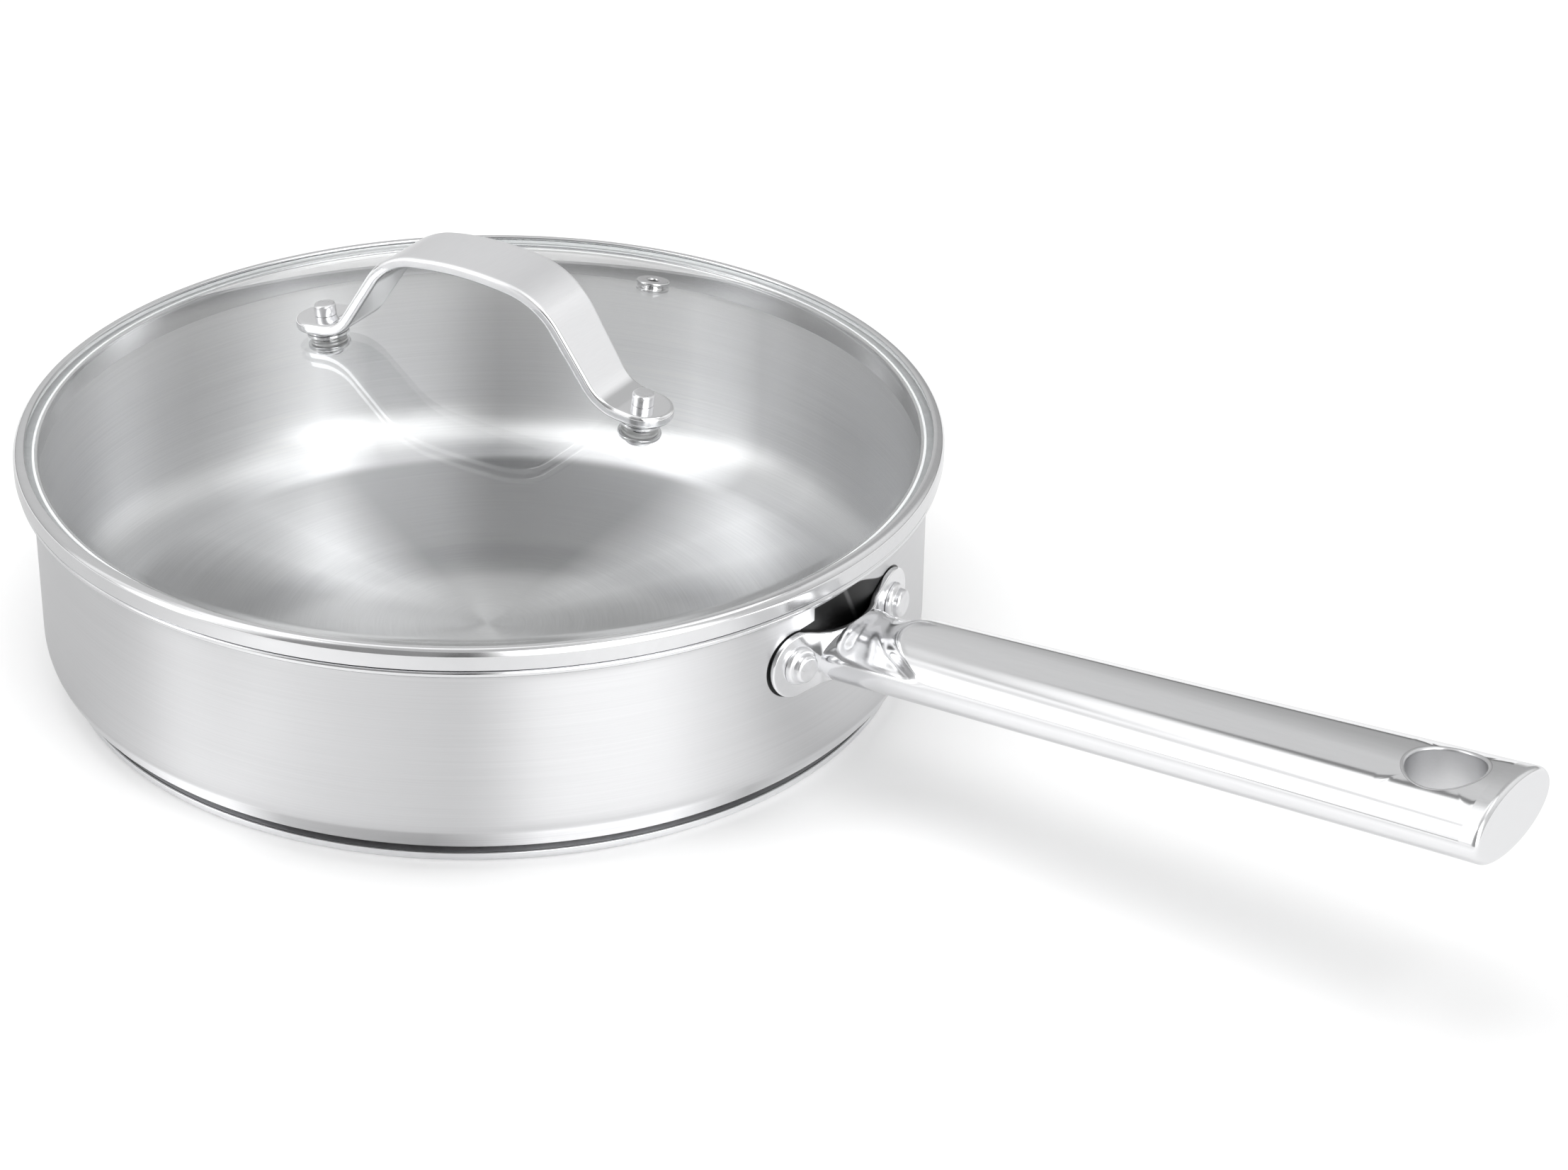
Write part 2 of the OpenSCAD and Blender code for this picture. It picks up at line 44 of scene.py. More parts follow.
# The photograph's camera and the room are set up in view axes: right, away from the camera, up
view = {
    "azimuth": 35.0,        # the handle points this far towards the camera from straight right
    "elevation": 28.99,
    "roll": 1.08,
    "distance": 1093.0,
    "lens": 89.43,
    "sensor": 36.0,
    "target": (83.6, 0.0, 18.5),
}


def fromView(right, away, up):
    # Turns view axes into the row frame: a turn about the upright axis by the handle's azimuth
    a = np.radians(view["azimuth"])
    return np.array([right * np.cos(a) - away * np.sin(a), right * np.sin(a) + away * np.cos(a), up])


def makeCamera():
    e, roll = np.radians([view["elevation"], view["roll"]])
    back = fromView(0, -np.cos(e), np.sin(e))
    side = fromView(1, 0, 0)
    up = np.cross(back, side)
    sideRolled = np.cos(roll) * side + np.sin(roll) * up
    upRolled = np.cos(roll) * up - np.sin(roll) * side
    place = np.eye(4)
    place[:3, 0], place[:3, 1], place[:3, 2] = sideRolled, upRolled, back
    place[:3, 3] = (fromView(*view["target"]) + back * view["distance"]) * mm
    data = bpy.data.cameras.new("camera")
    data.lens, data.sensor_width = view["lens"], view["sensor"]
    data.clip_start, data.clip_end = 0.05, 50
    camera = bpy.data.objects.new("camera", data)
    camera.matrix_world = place.T
    bpy.context.scene.collection.objects.link(camera)
    bpy.context.scene.camera = camera


makeCamera()
print("camera placed")


# Lines, grids of points and meshes

mesh = {
    "mergeDistance": 2e-6,  # metres
    "sharpAngle": 35,       # steeper edges stay crisp
}


def roundedLine(corners, step=6.0, closed=False, guard=0.25):
    # A line through corners (x, y, rounding). Each corner becomes an arc that starts and ends
    # rounding / tan(half the corner's angle) from it. Guard points sit close to both ends of each
    # straight stretch, so that shading stays flat there.
    flat = np.array([c[:2] for c in corners], float)
    out = []
    count = len(corners)
    for i, (x, y, r) in enumerate(corners):
        here = flat[i]
        ends = not closed and i in (0, count - 1)
        if r <= 0 or ends:
            out.append(here[None])
            continue
        before, after = flat[i - 1] - here, flat[(i + 1) % count] - here
        before, after = before / np.linalg.norm(before), after / np.linalg.norm(after)
        half = np.arccos(np.clip(before @ after, -1, 1)) / 2
        middle = before + after
        centre = here + middle / np.linalg.norm(middle) * r / np.sin(half)
        start, end = here + before * r / np.tan(half), here + after * r / np.tan(half)
        a0 = np.arctan2(*(start - centre)[::-1])
        a1 = np.arctan2(*(end - centre)[::-1])
        turn = (a1 - a0 + np.pi) % (2 * np.pi) - np.pi
        steps = max(3, int(np.ceil(np.degrees(abs(turn)) / step)))
        a = a0 + turn * np.linspace(0, 1, steps + 1)
        out.append(centre + r * np.stack([np.cos(a), np.sin(a)], 1))
    guarded = []
    pairs = list(zip(out, out[1:] + out[:1])) if closed else list(zip(out, out[1:]))
    for stretch, following in pairs:
        guarded.append(stretch)
        gap = following[0] - stretch[-1]
        size = np.linalg.norm(gap)
        if size > 4 * guard:
            inset = gap * guard / size
            guarded.append(np.stack([stretch[-1] + inset, following[0] - inset]))
    if not closed:
        guarded.append(out[-1])
    return np.concatenate(guarded)


def patch(points, rowsClosed=False, columnsClosed=False, keep=None):
    # One quad between each four neighbours of a grid of points: rows, columns, 3
    rows, columns = points.shape[:2]
    i, j = np.meshgrid(np.arange(rows - (not rowsClosed)), np.arange(columns - (not columnsClosed)),
                       indexing="ij")
    i2, j2 = (i + 1) % rows, (j + 1) % columns
    quads = np.stack([i * columns + j, i2 * columns + j, i2 * columns + j2, i * columns + j2], -1)
    quads = quads.reshape(-1, 4) if keep is None else quads[keep]
    return points.reshape(-1, 3), quads


def revolve(line, steps=256, closed=False, place=None):
    # A line of (radius, height) carried round the upright axis:
    # x = radius * cos(turn), y = radius * sin(turn), z = height
    turn = np.linspace(0, 2 * np.pi, steps, endpoint=False)
    r, z = line[:, 0, None], line[:, 1, None] + 0 * turn
    points = np.stack([r * np.cos(turn), r * np.sin(turn), z], -1)
    return patch(points if place is None else place(points), closed, True)


def turned(points, axis, degrees):
    # Right-hand turn of points about one axis through the origin
    a = np.radians(degrees)
    b, c = [k for k in range(3) if k != "xyz".index(axis)]
    sign = -1 if axis == "y" else 1
    out = np.array(points, float)
    out[..., b] = points[..., b] * np.cos(a) - sign * points[..., c] * np.sin(a)
    out[..., c] = points[..., c] * np.cos(a) + sign * points[..., b] * np.sin(a)
    return out


def smooth(x):
    # 0 to 1 with level ends: 3 x squared minus 2 x cubed
    c = np.clip(x, 0, 1)
    return c * c * (3 - 2 * c)


def makePiece(name, patches, body, slot, look, node, closed=True):
    # Joins patches into one mesh, merges its seams and poles and rides it on its body
    points, quads, start = [], [], 0
    for verts, faces in patches:
        points.append(verts)
        quads.append(faces + start)
        start += len(verts)
    points, quads = np.concatenate(points) * mm, np.concatenate(quads)
    data = bpy.data.meshes.new(name)
    data.vertices.add(len(points))
    data.vertices.foreach_set("co", points.astype(np.float32).ravel())
    data.loops.add(quads.size)
    data.loops.foreach_set("vertex_index", quads.astype(np.int32).ravel())
    data.polygons.add(len(quads))
    data.polygons.foreach_set("loop_start", np.arange(0, quads.size, 4, dtype=np.int32))
    data.update(calc_edges=True)
    work = bmesh.new()
    work.from_mesh(data)
    bmesh.ops.remove_doubles(work, verts=work.verts, dist=mesh["mergeDistance"])
    bmesh.ops.delete(work, geom=[v for v in work.verts if not v.link_faces], context="VERTS")
    if closed:
        bmesh.ops.recalc_face_normals(work, faces=work.faces)
    work.to_mesh(data)
    work.free()
    data.polygons.foreach_set("use_smooth", np.ones(len(data.polygons), bool))
    data.set_sharp_from_angle(angle=np.radians(mesh["sharpAngle"]))
    data.materials.append(look)
    piece = bpy.data.objects.new(name, data)
    bpy.context.scene.collection.objects.link(piece)
    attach(piece, body)
    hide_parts(node)
    return piece


def thicken(piece, wall):
    # Gives an open skin its sheet inwards and keeps the result as the mesh
    bpy.context.view_layer.update()
    work = bmesh.new()
    work.from_mesh(piece.data)
    bmesh.ops.recalc_face_normals(work, faces=work.faces)
    work.to_mesh(piece.data)
    work.free()
    solid = piece.modifiers.new("sheet", "SOLIDIFY")
    solid.thickness, solid.offset = wall * mm, -1
    solid.use_even_offset = False
    made = bpy.data.meshes.new_from_object(piece.evaluated_get(bpy.context.evaluated_depsgraph_get()))
    piece.modifiers.clear()
    piece.data = made
    made.set_sharp_from_angle(angle=np.radians(mesh["sharpAngle"]))


def openHole(x, y, centre, radius, at, inner, outer, stretch=1):
    # Opens a round hole in a grid. Square rings of cells round grid point "at" turn into circles:
    # ring "inner" becomes the hole's edge, ring "outer" stays, and those between are mixed.
    # A ring is as many columns wide as "stretch" says.
    i, j = np.meshgrid(np.arange(x.shape[0]), np.arange(x.shape[1]), indexing="ij")
    ring = np.maximum(abs(i - at[0]), abs(j - at[1]) / stretch)
    dx, dy = x - centre[0], y - centre[1]
    size = np.maximum(np.hypot(dx, dy), 1e-6)
    mix = np.clip((ring - inner) / (outer - inner), 0, 1)
    newX = centre[0] + dx * ((1 - mix) * radius / size + mix)
    newY = centre[1] + dy * ((1 - mix) * radius / size + mix)
    near = ring <= outer
    dropped = (ring[:-1, :-1] <= inner) & (ring[1:, 1:] <= inner) & (ring[1:, :-1] <= inner)
    dropped &= ring[:-1, 1:] <= inner
    return np.where(near, newX, x), np.where(near, newY, y), ~dropped


def makePlate(name, along, low, high, distance, thick, rounding, place, columns, **rest):
    # A bent plate. Each cross line runs from low to high; both faces sink near the outline by
    # r - sqrt(r squared - (r - d) squared), where d is the distance from the outline.
    q = np.sin(np.linspace(-1, 1, columns) * np.pi / 2)[None, :]
    a = along[:, None]
    b = low[:, None] + (high - low)[:, None] * (q + 1) / 2
    d = np.clip(distance(a, b), 0, rounding)
    sink = rounding - np.sqrt(np.maximum(rounding ** 2 - (rounding - d) ** 2, 0))
    top, bottom = place(a, b, sink), place(a, b, thick - sink)
    points = np.concatenate([top, bottom[:, ::-1]], 1)
    return makePiece(name, [patch(points, False, True)], **rest)


# Shader building

class Wire:
    # A socket in a shader: an expression on it adds its Math nodes
    def __init__(self, shader, socket):
        self.shader, self.socket = shader, socket

    def math(self, operation, *values):
        return self.shader.add("Math", {"operation": operation}, list(values))[0]

    def __add__(self, other): return self.math("ADD", self, other)
    def __sub__(self, other): return self.math("SUBTRACT", self, other)
    def __rsub__(self, other): return self.math("SUBTRACT", other, self)
    def __mul__(self, other): return self.math("MULTIPLY", self, other)
    def __truediv__(self, other): return self.math("DIVIDE", self, other)
    def __rtruediv__(self, other): return self.math("DIVIDE", other, self)
    def __pow__(self, other): return self.math("POWER", self, other)
    __radd__, __rmul__ = __add__, __mul__

    def size(self):
        return self.math("ABSOLUTE", self)

    def orLarger(self, other):
        return self.math("MAXIMUM", self, other)

    def step(self, low, high):
        # 0 below low and 1 above high, smooth between
        return self.shader.add("MapRange", {"interpolation_type": "SMOOTHSTEP"}, {
            "Value": self, "From Min": low, "From Max": high})[0]

    def stepPast(self, base, span):
        # The same between two distances from a base
        return self.step(base + span[0], base + span[1])

    def fit(self, low, high):
        # From 0..1 to low..high
        return self * (high - low) + low


class Outputs(list):
    # A node's outputs, by number or by name
    def __init__(self, shader, node):
        super().__init__(Wire(shader, socket) for socket in node.outputs)
        self.shader, self.node = shader, node

    def __getitem__(self, key):
        if isinstance(key, str):
            return Wire(self.shader, self.node.outputs[key])
        return super().__getitem__(key)


class Shader:
    # A material's or the world's nodes
    def __init__(self, tree):
        self.tree = tree
        tree.nodes.clear()

    def add(self, kind, settings=None, values=None):
        # Adds any node: its settings first, then the values or links of its sockets
        node = self.tree.nodes.new("ShaderNode" + kind)
        for key, value in (settings or {}).items():
            if key == "stops":
                self.setStops(node.color_ramp, value)
            else:
                setattr(node, key, value)
        values = values or {}
        pairs = enumerate(values) if isinstance(values, list) else values.items()
        for key, value in pairs:
            if isinstance(value, Wire):
                self.tree.links.new(value.socket, node.inputs[key])
            else:
                node.inputs[key].default_value = value
        return Outputs(self, node)

    def setStops(self, ramp, stops):
        while len(ramp.elements) < len(stops):
            ramp.elements.new(0.5)
        for element, (place, level) in zip(ramp.elements, stops):
            element.position = place
            element.color = grey(level)

    def ramp(self, value, stops):
        return self.add("ValToRGB", {"stops": stops}, [value])[0]

    def blend(self, share, first, second):
        # Colour mix: first where share is 0, second where it is 1
        return self.add("Mix", {"data_type": "RGBA"}, {0: share, 6: first, 7: second})[2]

    def scaled(self, vector, size):
        return self.add("VectorMath", {"operation": "SCALE"}, {"Vector": vector, "Scale": size})[0]

    def split(self, vector):
        return self.add("SeparateXYZ", None, [vector])

    def place(self):
        return self.add("TexCoord")["Object"]

    def noise(self, vector, scale, detail=2.0, rough=0.5):
        return self.add("TexNoise", None, {"Vector": vector, "Scale": scale, "Detail": detail,
                                           "Roughness": rough})["Fac"]

    def bump(self, height, strength, distance):
        return self.add("Bump", None, {"Strength": strength, "Distance": distance,
                                       "Height": height})["Normal"]

    def finish(self, **sockets):
        # A Principled shader with these sockets, straight to the surface
        names = {key[0].upper() + "".join(" " + c if c.isupper() else c for c in key[1:]): value
                 for key, value in sockets.items()}
        surface = self.add("BsdfPrincipled", None, names)
        self.add("OutputMaterial", None, {"Surface": surface[0]})


def newMaterial(name):
    made = bpy.data.materials.new(name)
    made.use_nodes = True
    return made, Shader(made.node_tree)


def grey(level, tint=(1.0, 1.0, 1.0)):
    return (level * tint[0], level * tint[1], level * tint[2], 1)


def viewPart(x, y, right, away):
    # How far a level direction reaches along the view's right or away axis
    dx, dy, _ = fromView(right, away, 0)
    return x * float(dx) + y * float(dy)


# Steel, glass, rubber and sealant

steelTint = (0.985, 0.988, 1.0)


def steelGrey(level):
    return grey(level, steelTint)


def roundBrush(shader, across, around):
    # Fine lines that run round the upright axis: noise that changes fast with radius and height
    # and slowly with the turn, taken from x / radius and y / radius so that it has no seam
    x, y, z = shader.split(shader.place())
    radius = (x * x + y * y + 1e-8) ** 0.5
    line = shader.add("CombineXYZ", None, [
        x / radius * around, y / radius * around, (radius + z) * across])[0]
    return line, radius, x, y, z


shellFinish = {
    "inside": 0.99,         # how pale the satin steel is painted inside and outside; the inside's paler level is painted light
    "outside": 0.71,
    "foot": 0.05,           # painted shade: how much darker the wall is near the base, up to these heights
    "footZ": (2, 20),
    "outsideFrom": (-0.7, -0.3),    # from the wall's radius
    "lipFrom": (0.4, 1.1),
    "lipZ": (-6, -4),       # from the rim
    "fineUneven": 0.12,
    "broadUneven": 0.03,
    "outsideEvener": 0.6,
    "floor": (100, 108),    # radii between which the floor's circles give way to the wall's lines
    # painted shade over the whole of the pan's floor
    "floorDarker": 0.1,
    "lipPaler": 0.1,
    "middle": 0.66,         # painted shade: how much of its level the middle of the floor keeps
    "middleSize": (2, 50),
    # painted highlights and shade: fans round the floor's middle, and upright bands on the inner wall, by
    # direction round the pan
    "fans": [(0.0, 0.6), (0.08, 0.66), (0.25, 1.0), (0.45, 1.0), (0.78, 0.42), (1.0, 0.36)],
    "sheen": [(0.0, 0.8), (0.12, 0.8), (0.19, 1.0), (0.26, 1.0), (0.32, 0.62), (0.48, 0.55),
              (0.53, 0.7), (0.6, 1.0), (0.73, 1.0), (0.81, 0.6), (0.88, 0.85), (1.0, 0.8)],
    "rough": (0.35, 0.41),
    "outsideSmoother": 0.08,
    "floorSmoother": 0.06,
    "lipRough": 0.12,
    "anisotropic": 0.92,
}

# Painted shade on the wall in the hollow behind the saddle, which is open above, with a painted highlight
# streak down it, and painted shadow lines round the ears
hollowShade = {
    "low": (38, 40),        # heights over which it fades in from below
    "near": 14.1,           # its near end, which lies further out below the heights nearZ
    "nearMore": 5.4,
    "nearZ": (52.6, 53.3),
    "far": (18.6, 19.0),
    "top": (56.6, 57.1),    # its upper edge, which drops towards the far end
    "topDrop": 4.6,
    "dropFrom": (3.0, 19.5),
    "streakZ": 54.0,
    "streakSlope": 0.53,
    "streakWidth": (0.2, 1.3),
    "seam": (0.15, 0.45),   # the painted shadow line round each ear, from the ear's edge
    "soft": 0.2,
    # levels of the painted shade and of the painted highlight streak in it
    "dark": 0.03,
    "streak": 0.1,
    "side": (60, 70),       # it is on the handle's side of the pan only
}


def paintedHollowShade(x, y, z):
    # Painted shade: 1 in the dark hollow between the wall and the saddle and in the shadow lines
    # round the ears, and the painted level there, with a painted highlight streak down the hollow
    h = hollowShade
    near = (y + h["near"] + (1 - z.step(*h["nearZ"])) * h["nearMore"]).step(-h["soft"], h["soft"])
    top = 1 - (y.step(*h["dropFrom"]) * h["topDrop"] + z).step(*h["top"])
    mask = near * top * (1 - y.step(*h["far"])) * z.step(*h["low"])
    ear = ((y.size() - saddle["rivetY"]) ** 2 + (z - saddle["rivetZ"]) ** 2) ** 0.5
    seam = 1 - ear.stepPast(saddle["ear"], h["seam"])
    streak = 1 - (y + (z - h["streakZ"]) * h["streakSlope"]).size().step(*h["streakWidth"])
    return mask.orLarger(seam) * x.step(*h["side"]), streak * h["streak"] + h["dark"]


def shellSteel():
    # Satin steel, brushed round the wall and in circles on the floor, with a polished lip
    made, s = newMaterial("shellSteel")
    f, wall, rim = shellFinish, pan["wallRadius"], pan["rim"]
    line, radius, x, y, z = roundBrush(s, across=2600.0, around=2.2)
    r, x, y, z = radius / mm, x / mm, y / mm, z / mm
    fine = s.noise(line, 1.0, detail=3.0, rough=0.62)
    broad = s.noise(line, 0.11)
    outside = r.stepPast(wall, f["outsideFrom"])
    lip = r.stepPast(wall, f["lipFrom"]) * z.stepPast(rim, f["lipZ"])
    onFloor = 1 - r.step(*f["floor"])
    uneven = fine.fit(-f["fineUneven"], f["fineUneven"])
    uneven = uneven + broad.fit(-f["broadUneven"], f["broadUneven"])
    # The inside is painted paler than the outside, as painted light
    level = outside.fit(f["inside"], f["outside"]) + uneven * (1 - outside * f["outsideEvener"])
    # Painted shade near the base of the outer wall
    level = level - outside * (1 - z.step(*f["footZ"])) * f["foot"]
    # Painted shade on the pan's floor; the polished lip is paler
    level = level - onFloor * f["floorDarker"] + lip * f["lipPaler"]
    # Painted highlights and shade: light and dark upright bands on the inner wall and fans round the
    # floor's middle, where brushing would gather reflected light
    sheen = s.ramp(viewPart(x, y, 1, 0) / r * 0.5 + 0.5, f["sheen"])
    level = level * (1 - (1 - outside) * (1 - onFloor) * (1 - lip) * (1 - sheen))
    facing = viewPart(x, y, 0, 1) / r
    fans = s.ramp(facing * facing, f["fans"])
    kept = (fans - f["middle"]) * r.step(*f["middleSize"]) + f["middle"]
    level = level * (1 - onFloor * (1 - kept))
    # Painted shade in the hollow behind the saddle and round the ears, with its painted highlight streak
    dark, paintedShadeLevel = paintedHollowShade(x, y, z)
    dark = dark * outside
    level = level * (1 - dark) + dark * paintedShadeLevel
    shade = s.add("CombineColor", None, [level * part for part in steelTint])[0]
    rough = fine.fit(*f["rough"]) - outside * f["outsideSmoother"] - onFloor * f["floorSmoother"]
    s.finish(baseColor=shade, metallic=1.0, roughness=rough * (1 - lip) + lip * f["lipRough"],
             anisotropic=f["anisotropic"], anisotropicRotation=0.25,
             normal=s.bump(fine * (1 - lip), strength=0.05, distance=0.00002))
    return made


def baseSteel():
    made, s = newMaterial("baseSteel")
    line, radius, x, y, z = roundBrush(s, across=3400.0, around=1.4)
    fine = s.noise(line, 1.0, rough=0.6)
    # Painted shadow: darker on the underside, within 0.6 mm of the bottom, where the cap meets the floor
    under = 1 - (z / mm).step(0.2, 0.6)
    shade = s.blend(fine * 0.5 + under * 0.3, steelGrey(0.95), steelGrey(0.75))
    s.finish(baseColor=shade, metallic=1.0, roughness=fine.fit(0.3, 0.42), anisotropic=0.5,
             anisotropicRotation=0.25,
             normal=s.bump(fine, strength=0.08, distance=0.00005))
    return made


def polishedSteel(name, level, low, high, grain=900.0, dull=None):
    # Mirror steel with a trace of polishing lines and very slight waves, its roughness between low
    # and high. It is duller out to the first distance in dull, and no more so past the second.
    made, s = newMaterial(name)
    stretched = s.add("Mapping", None, {"Vector": s.place(), "Scale": (0.06, 1.0, 1.0)})[0]
    lines = s.noise(stretched, grain, detail=3.0, rough=0.6)
    waves = s.noise(s.place(), 38.0, detail=1.0)
    rough = lines.fit(low, high)
    if dull:
        rough = rough + (1 - (s.split(s.place())[0] / mm).step(*dull)) * 0.07
    s.finish(baseColor=s.blend(lines, steelGrey(level - 0.03), steelGrey(level + 0.03)), metallic=1.0,
             roughness=rough, normal=s.bump(waves + lines * 0.12, strength=0.04, distance=0.00006))
    return made


def rivetSteel():
    made, s = newMaterial("rivetSteel")
    grains = s.noise(s.place(), 1500.0, detail=4.0, rough=0.65)
    dents = s.noise(s.place(), 420.0)
    s.finish(baseColor=s.blend(dents, steelGrey(0.74), steelGrey(0.9)), metallic=1.0,
             roughness=dents.fit(0.2, 0.42),
             normal=s.bump(grains * 0.4 + dents, strength=0.22, distance=0.0001))
    return made


strapFinish = {
    "level": 0.94,
    "inner": 0.27,          # painted shade: the strap's inner side, which faces down, is painted dark
    "innerFrom": (-0.75, -0.2),
    "crownZ": (110.5, 113.0),
    "rough": (0.09, 0.13),
    "crownRougher": 0.3,
}


def strapSteel():
    # Satin over the crown, with fine lines across it, and polished on the legs and feet
    made, s = newMaterial("strapSteel")
    f = strapFinish
    crown = (s.split(s.place())[2] / mm).step(*f["crownZ"])
    stretched = s.add("Mapping", None, {"Vector": s.place(), "Scale": (1.0, 0.05, 1.0)})[0]
    lines = s.noise(stretched, 2600.0, detail=3.0, rough=0.6)
    shade = s.blend(lines, steelGrey(f["level"] - 0.03), steelGrey(f["level"] + 0.03))
    # Painted shade on the strap's downward-facing inner side
    facing = s.split(s.add("NewGeometry")["Normal"])[2]
    shade = s.blend(facing.step(*f["innerFrom"]), steelGrey(f["inner"]), shade)
    rough = lines.fit(*f["rough"]) + crown * f["crownRougher"]
    s.finish(baseColor=shade, metallic=1.0, roughness=rough,
             normal=s.bump(lines, strength=0.05, distance=0.00005))
    return made


def clearGlass():
    # Light from the lamps passes straight through, so that the pan's inside is lit
    made, s = newMaterial("clearGlass")
    waves = s.noise(s.place(), 9.0, detail=1.0)
    surface = s.add("BsdfPrincipled", None, {
        "Base Color": (0.985, 0.99, 0.988, 1), "Roughness": 0.0, "IOR": 1.47,
        "Transmission Weight": 1.0, "Normal": s.bump(waves, strength=0.02, distance=0.0002)})
    through = s.add("BsdfTransparent", None, {"Color": (0.97, 0.975, 0.972, 1)})
    shadowRay = s.add("LightPath")["Is Shadow Ray"]
    mixed = s.add("MixShader", None, [shadowRay, surface[0], through[0]])
    s.add("OutputMaterial", None, {"Surface": mixed[0]})
    return made


def plainFinish(name, low, high, rough, grain, metallic=0.0):
    # Colour between low and high by a fine speckle
    made, s = newMaterial(name)
    speck = s.noise(s.place(), grain, detail=4.0, rough=0.6)
    s.finish(baseColor=s.blend(speck, (*low, 1), (*high, 1)), metallic=metallic,
             roughness=speck.fit(rough - 0.05, rough + 0.08),
             normal=s.bump(speck, strength=0.3, distance=0.00005))
    return made


# Pan

pan = {
    "wallRadius": 122.5,
    "wall": 1.0,
    "floorZ": 2.6,
    "rim": 62.0,
    "corner": 13.0,
    "flare": 3.5,
    "lip": 1.7,             # the lip's rolled edge is thicker than the wall
    "capRadius": 116.7,
    "capWall": 0.6,
    "capEdge": 1.8,
    "capMouth": 0.12,       # rounding of the cap's upper edge
}


def makePan():
    r, t, top, edge = pan["wallRadius"], pan["wall"], pan["rim"], pan["lip"]
    lipRadius = r + pan["flare"] + t / 2
    line = roundedLine([
        (0, pan["floorZ"], 0), (r, pan["floorZ"], pan["corner"]), (r, top - edge, pan["flare"]),
        (lipRadius, top - edge, edge * 0.45), (lipRadius, top, edge * 0.45),
        (r - t, top, pan["flare"] + t), (r - t, pan["floorZ"] + t, pan["corner"] - t),
        (0, pan["floorZ"] + t, 0)], step=5)
    makePiece("panShell", [revolve(line, 384)], "pan", "shell_steel", looks["shell"], "pan_shell")
    c, w, mouth = pan["capRadius"], pan["capWall"], pan["capMouth"]
    line = roundedLine([
        (0, 0, 0), (c, 0, pan["capEdge"]), (c, pan["floorZ"], mouth), (c - w, pan["floorZ"], mouth),
        (c - w, w, pan["capEdge"] - w), (0, w, 0)])
    makePiece("baseCap", [revolve(line, 320)], "pan", "base_steel", looks["base"], "base_cap")
    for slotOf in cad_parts["base_core"].material_slots:
        slotOf.material = looks["core"]


# Handle. Its own frame is level and starts on the pan's axis; tilted() sets it at its slope.

handle = {
    "z": 41.2,
    "length": 191.49,
    "rise": 5.5,
    "rootWidth": 13.4,      # half widths and heights
    "rootHeight": 9.6,
    "endWidth": 19.8,
    "endHeight": 9.2,
    "squareness": 2.05,     # 2 is an ellipse
    "sheet": 1.2,
    "neckDepth": 1.9,
    "neckLength": 16.0,
    "neckFade": 0.55,       # as a share of its length
    "neckSide": 17.0,       # how much further its tongue reaches at the sides
    "neckStart": 5.0,
    "neckSpread": 1.8,      # how far down the sides it reaches
    "neckRim": 0.1,
    "capLength": 5.0,
    "capRound": 1.6,
    "plugLength": 1.8,      # it ends short of the eye's sleeve
    "plugGap": 0.1,
    "eyeIn": 18.0,
    "eyeRadius": 9.75,
    "eyeWall": 1.0,
    "eyeRound": 0.8,
    "eyeSeat": 1.6,         # how deep the sleeve's outer wall starts
    "eyeGap": 0.05,
    "eyeRings": (13, 15),   # rings of the tube's grid that turn into the hole's edge
}

saddle = {
    "thick": 1.8,
    "out": 4.8,
    "radius": 22.0,
    "blend": 1.0,
    "ear": 9.0,
    "rivetZ": 43.5,
    "rivetY": 21.4,
    "top": 49.0,
    "half": 9.4,
    "rounding": 0.45,
}

handleEnd = pan["wallRadius"] + handle["length"]
tubeEnd = handleEnd - handle["capLength"]
eyeX = handleEnd - handle["eyeIn"]
saddleX = pan["wallRadius"] + saddle["out"]
neckX = saddleX + handle["neckLength"]


def tilted(points):
    # Turns the level handle up about the point where its axis meets the wall
    base = np.array([pan["wallRadius"], 0, 0])
    return turned(points - base, "y", -handle["rise"]) + base + [0, 0, handle["z"]]


def halfSize(x):
    share = (x - pan["wallRadius"]) / handle["length"]
    wide = handle["rootWidth"] + (handle["endWidth"] - handle["rootWidth"]) * share
    high = handle["rootHeight"] + (handle["endHeight"] - handle["rootHeight"]) * share
    return wide, high


def neckDepth(x, a):
    # The hollow pressed into the upper side, deepest near the saddle and gone at its tongue,
    # which lies further out towards the sides
    up = smooth(np.sin(a) * handle["neckSpread"] - handle["neckRim"])
    tongue = neckX + handle["neckSide"] * (1 - np.maximum(0, np.sin(a)))
    fade = handle["neckLength"] * handle["neckFade"]
    start = smooth((saddleX + handle["neckStart"] - x) / handle["neckStart"])
    return handle["neckDepth"] * up * (1 - smooth((x - tongue + fade) / fade)) * (1 - start / 2)


def tubeRing(x, a, inset=0.0):
    # Superellipse: y = width * cos(a) ^ (2 / n), z = height * sin(a) ^ (2 / n), drawn in by inset
    wide, high = halfSize(x)
    cut = inset + neckDepth(x, a)
    power = 2 / handle["squareness"]
    y = (wide - cut) * np.sign(np.cos(a)) * abs(np.cos(a)) ** power
    z = (high - cut) * np.sign(np.sin(a)) * abs(np.sin(a)) ** power
    return np.stack(np.broadcast_arrays(x, y, z), -1)


def topHeight(x, y):
    # Height of the tube's upper side over a point in plan: height * (1 - (y / width) ^ n) ^ (1 / n)
    wide, high = halfSize(x)
    n = handle["squareness"]
    return high * (1 - np.clip(abs(y) / wide, 0, 1) ** n) ** (1 / n)


def saddleFace(y):
    # Plan of the saddle's outer face: the larger of the circle round the pan and the smaller
    # circle of the raised middle, rounded where they meet
    near = np.sqrt((pan["wallRadius"] + saddle["thick"]) ** 2 - y ** 2)
    middle = saddleX - saddle["radius"] + np.sqrt(np.maximum(saddle["radius"] ** 2 - y ** 2, 0))
    h = np.clip(0.5 + 0.5 * (middle - near) / saddle["blend"], 0, 1)
    return near + (middle - near) * h + saddle["blend"] * h * (1 - h)


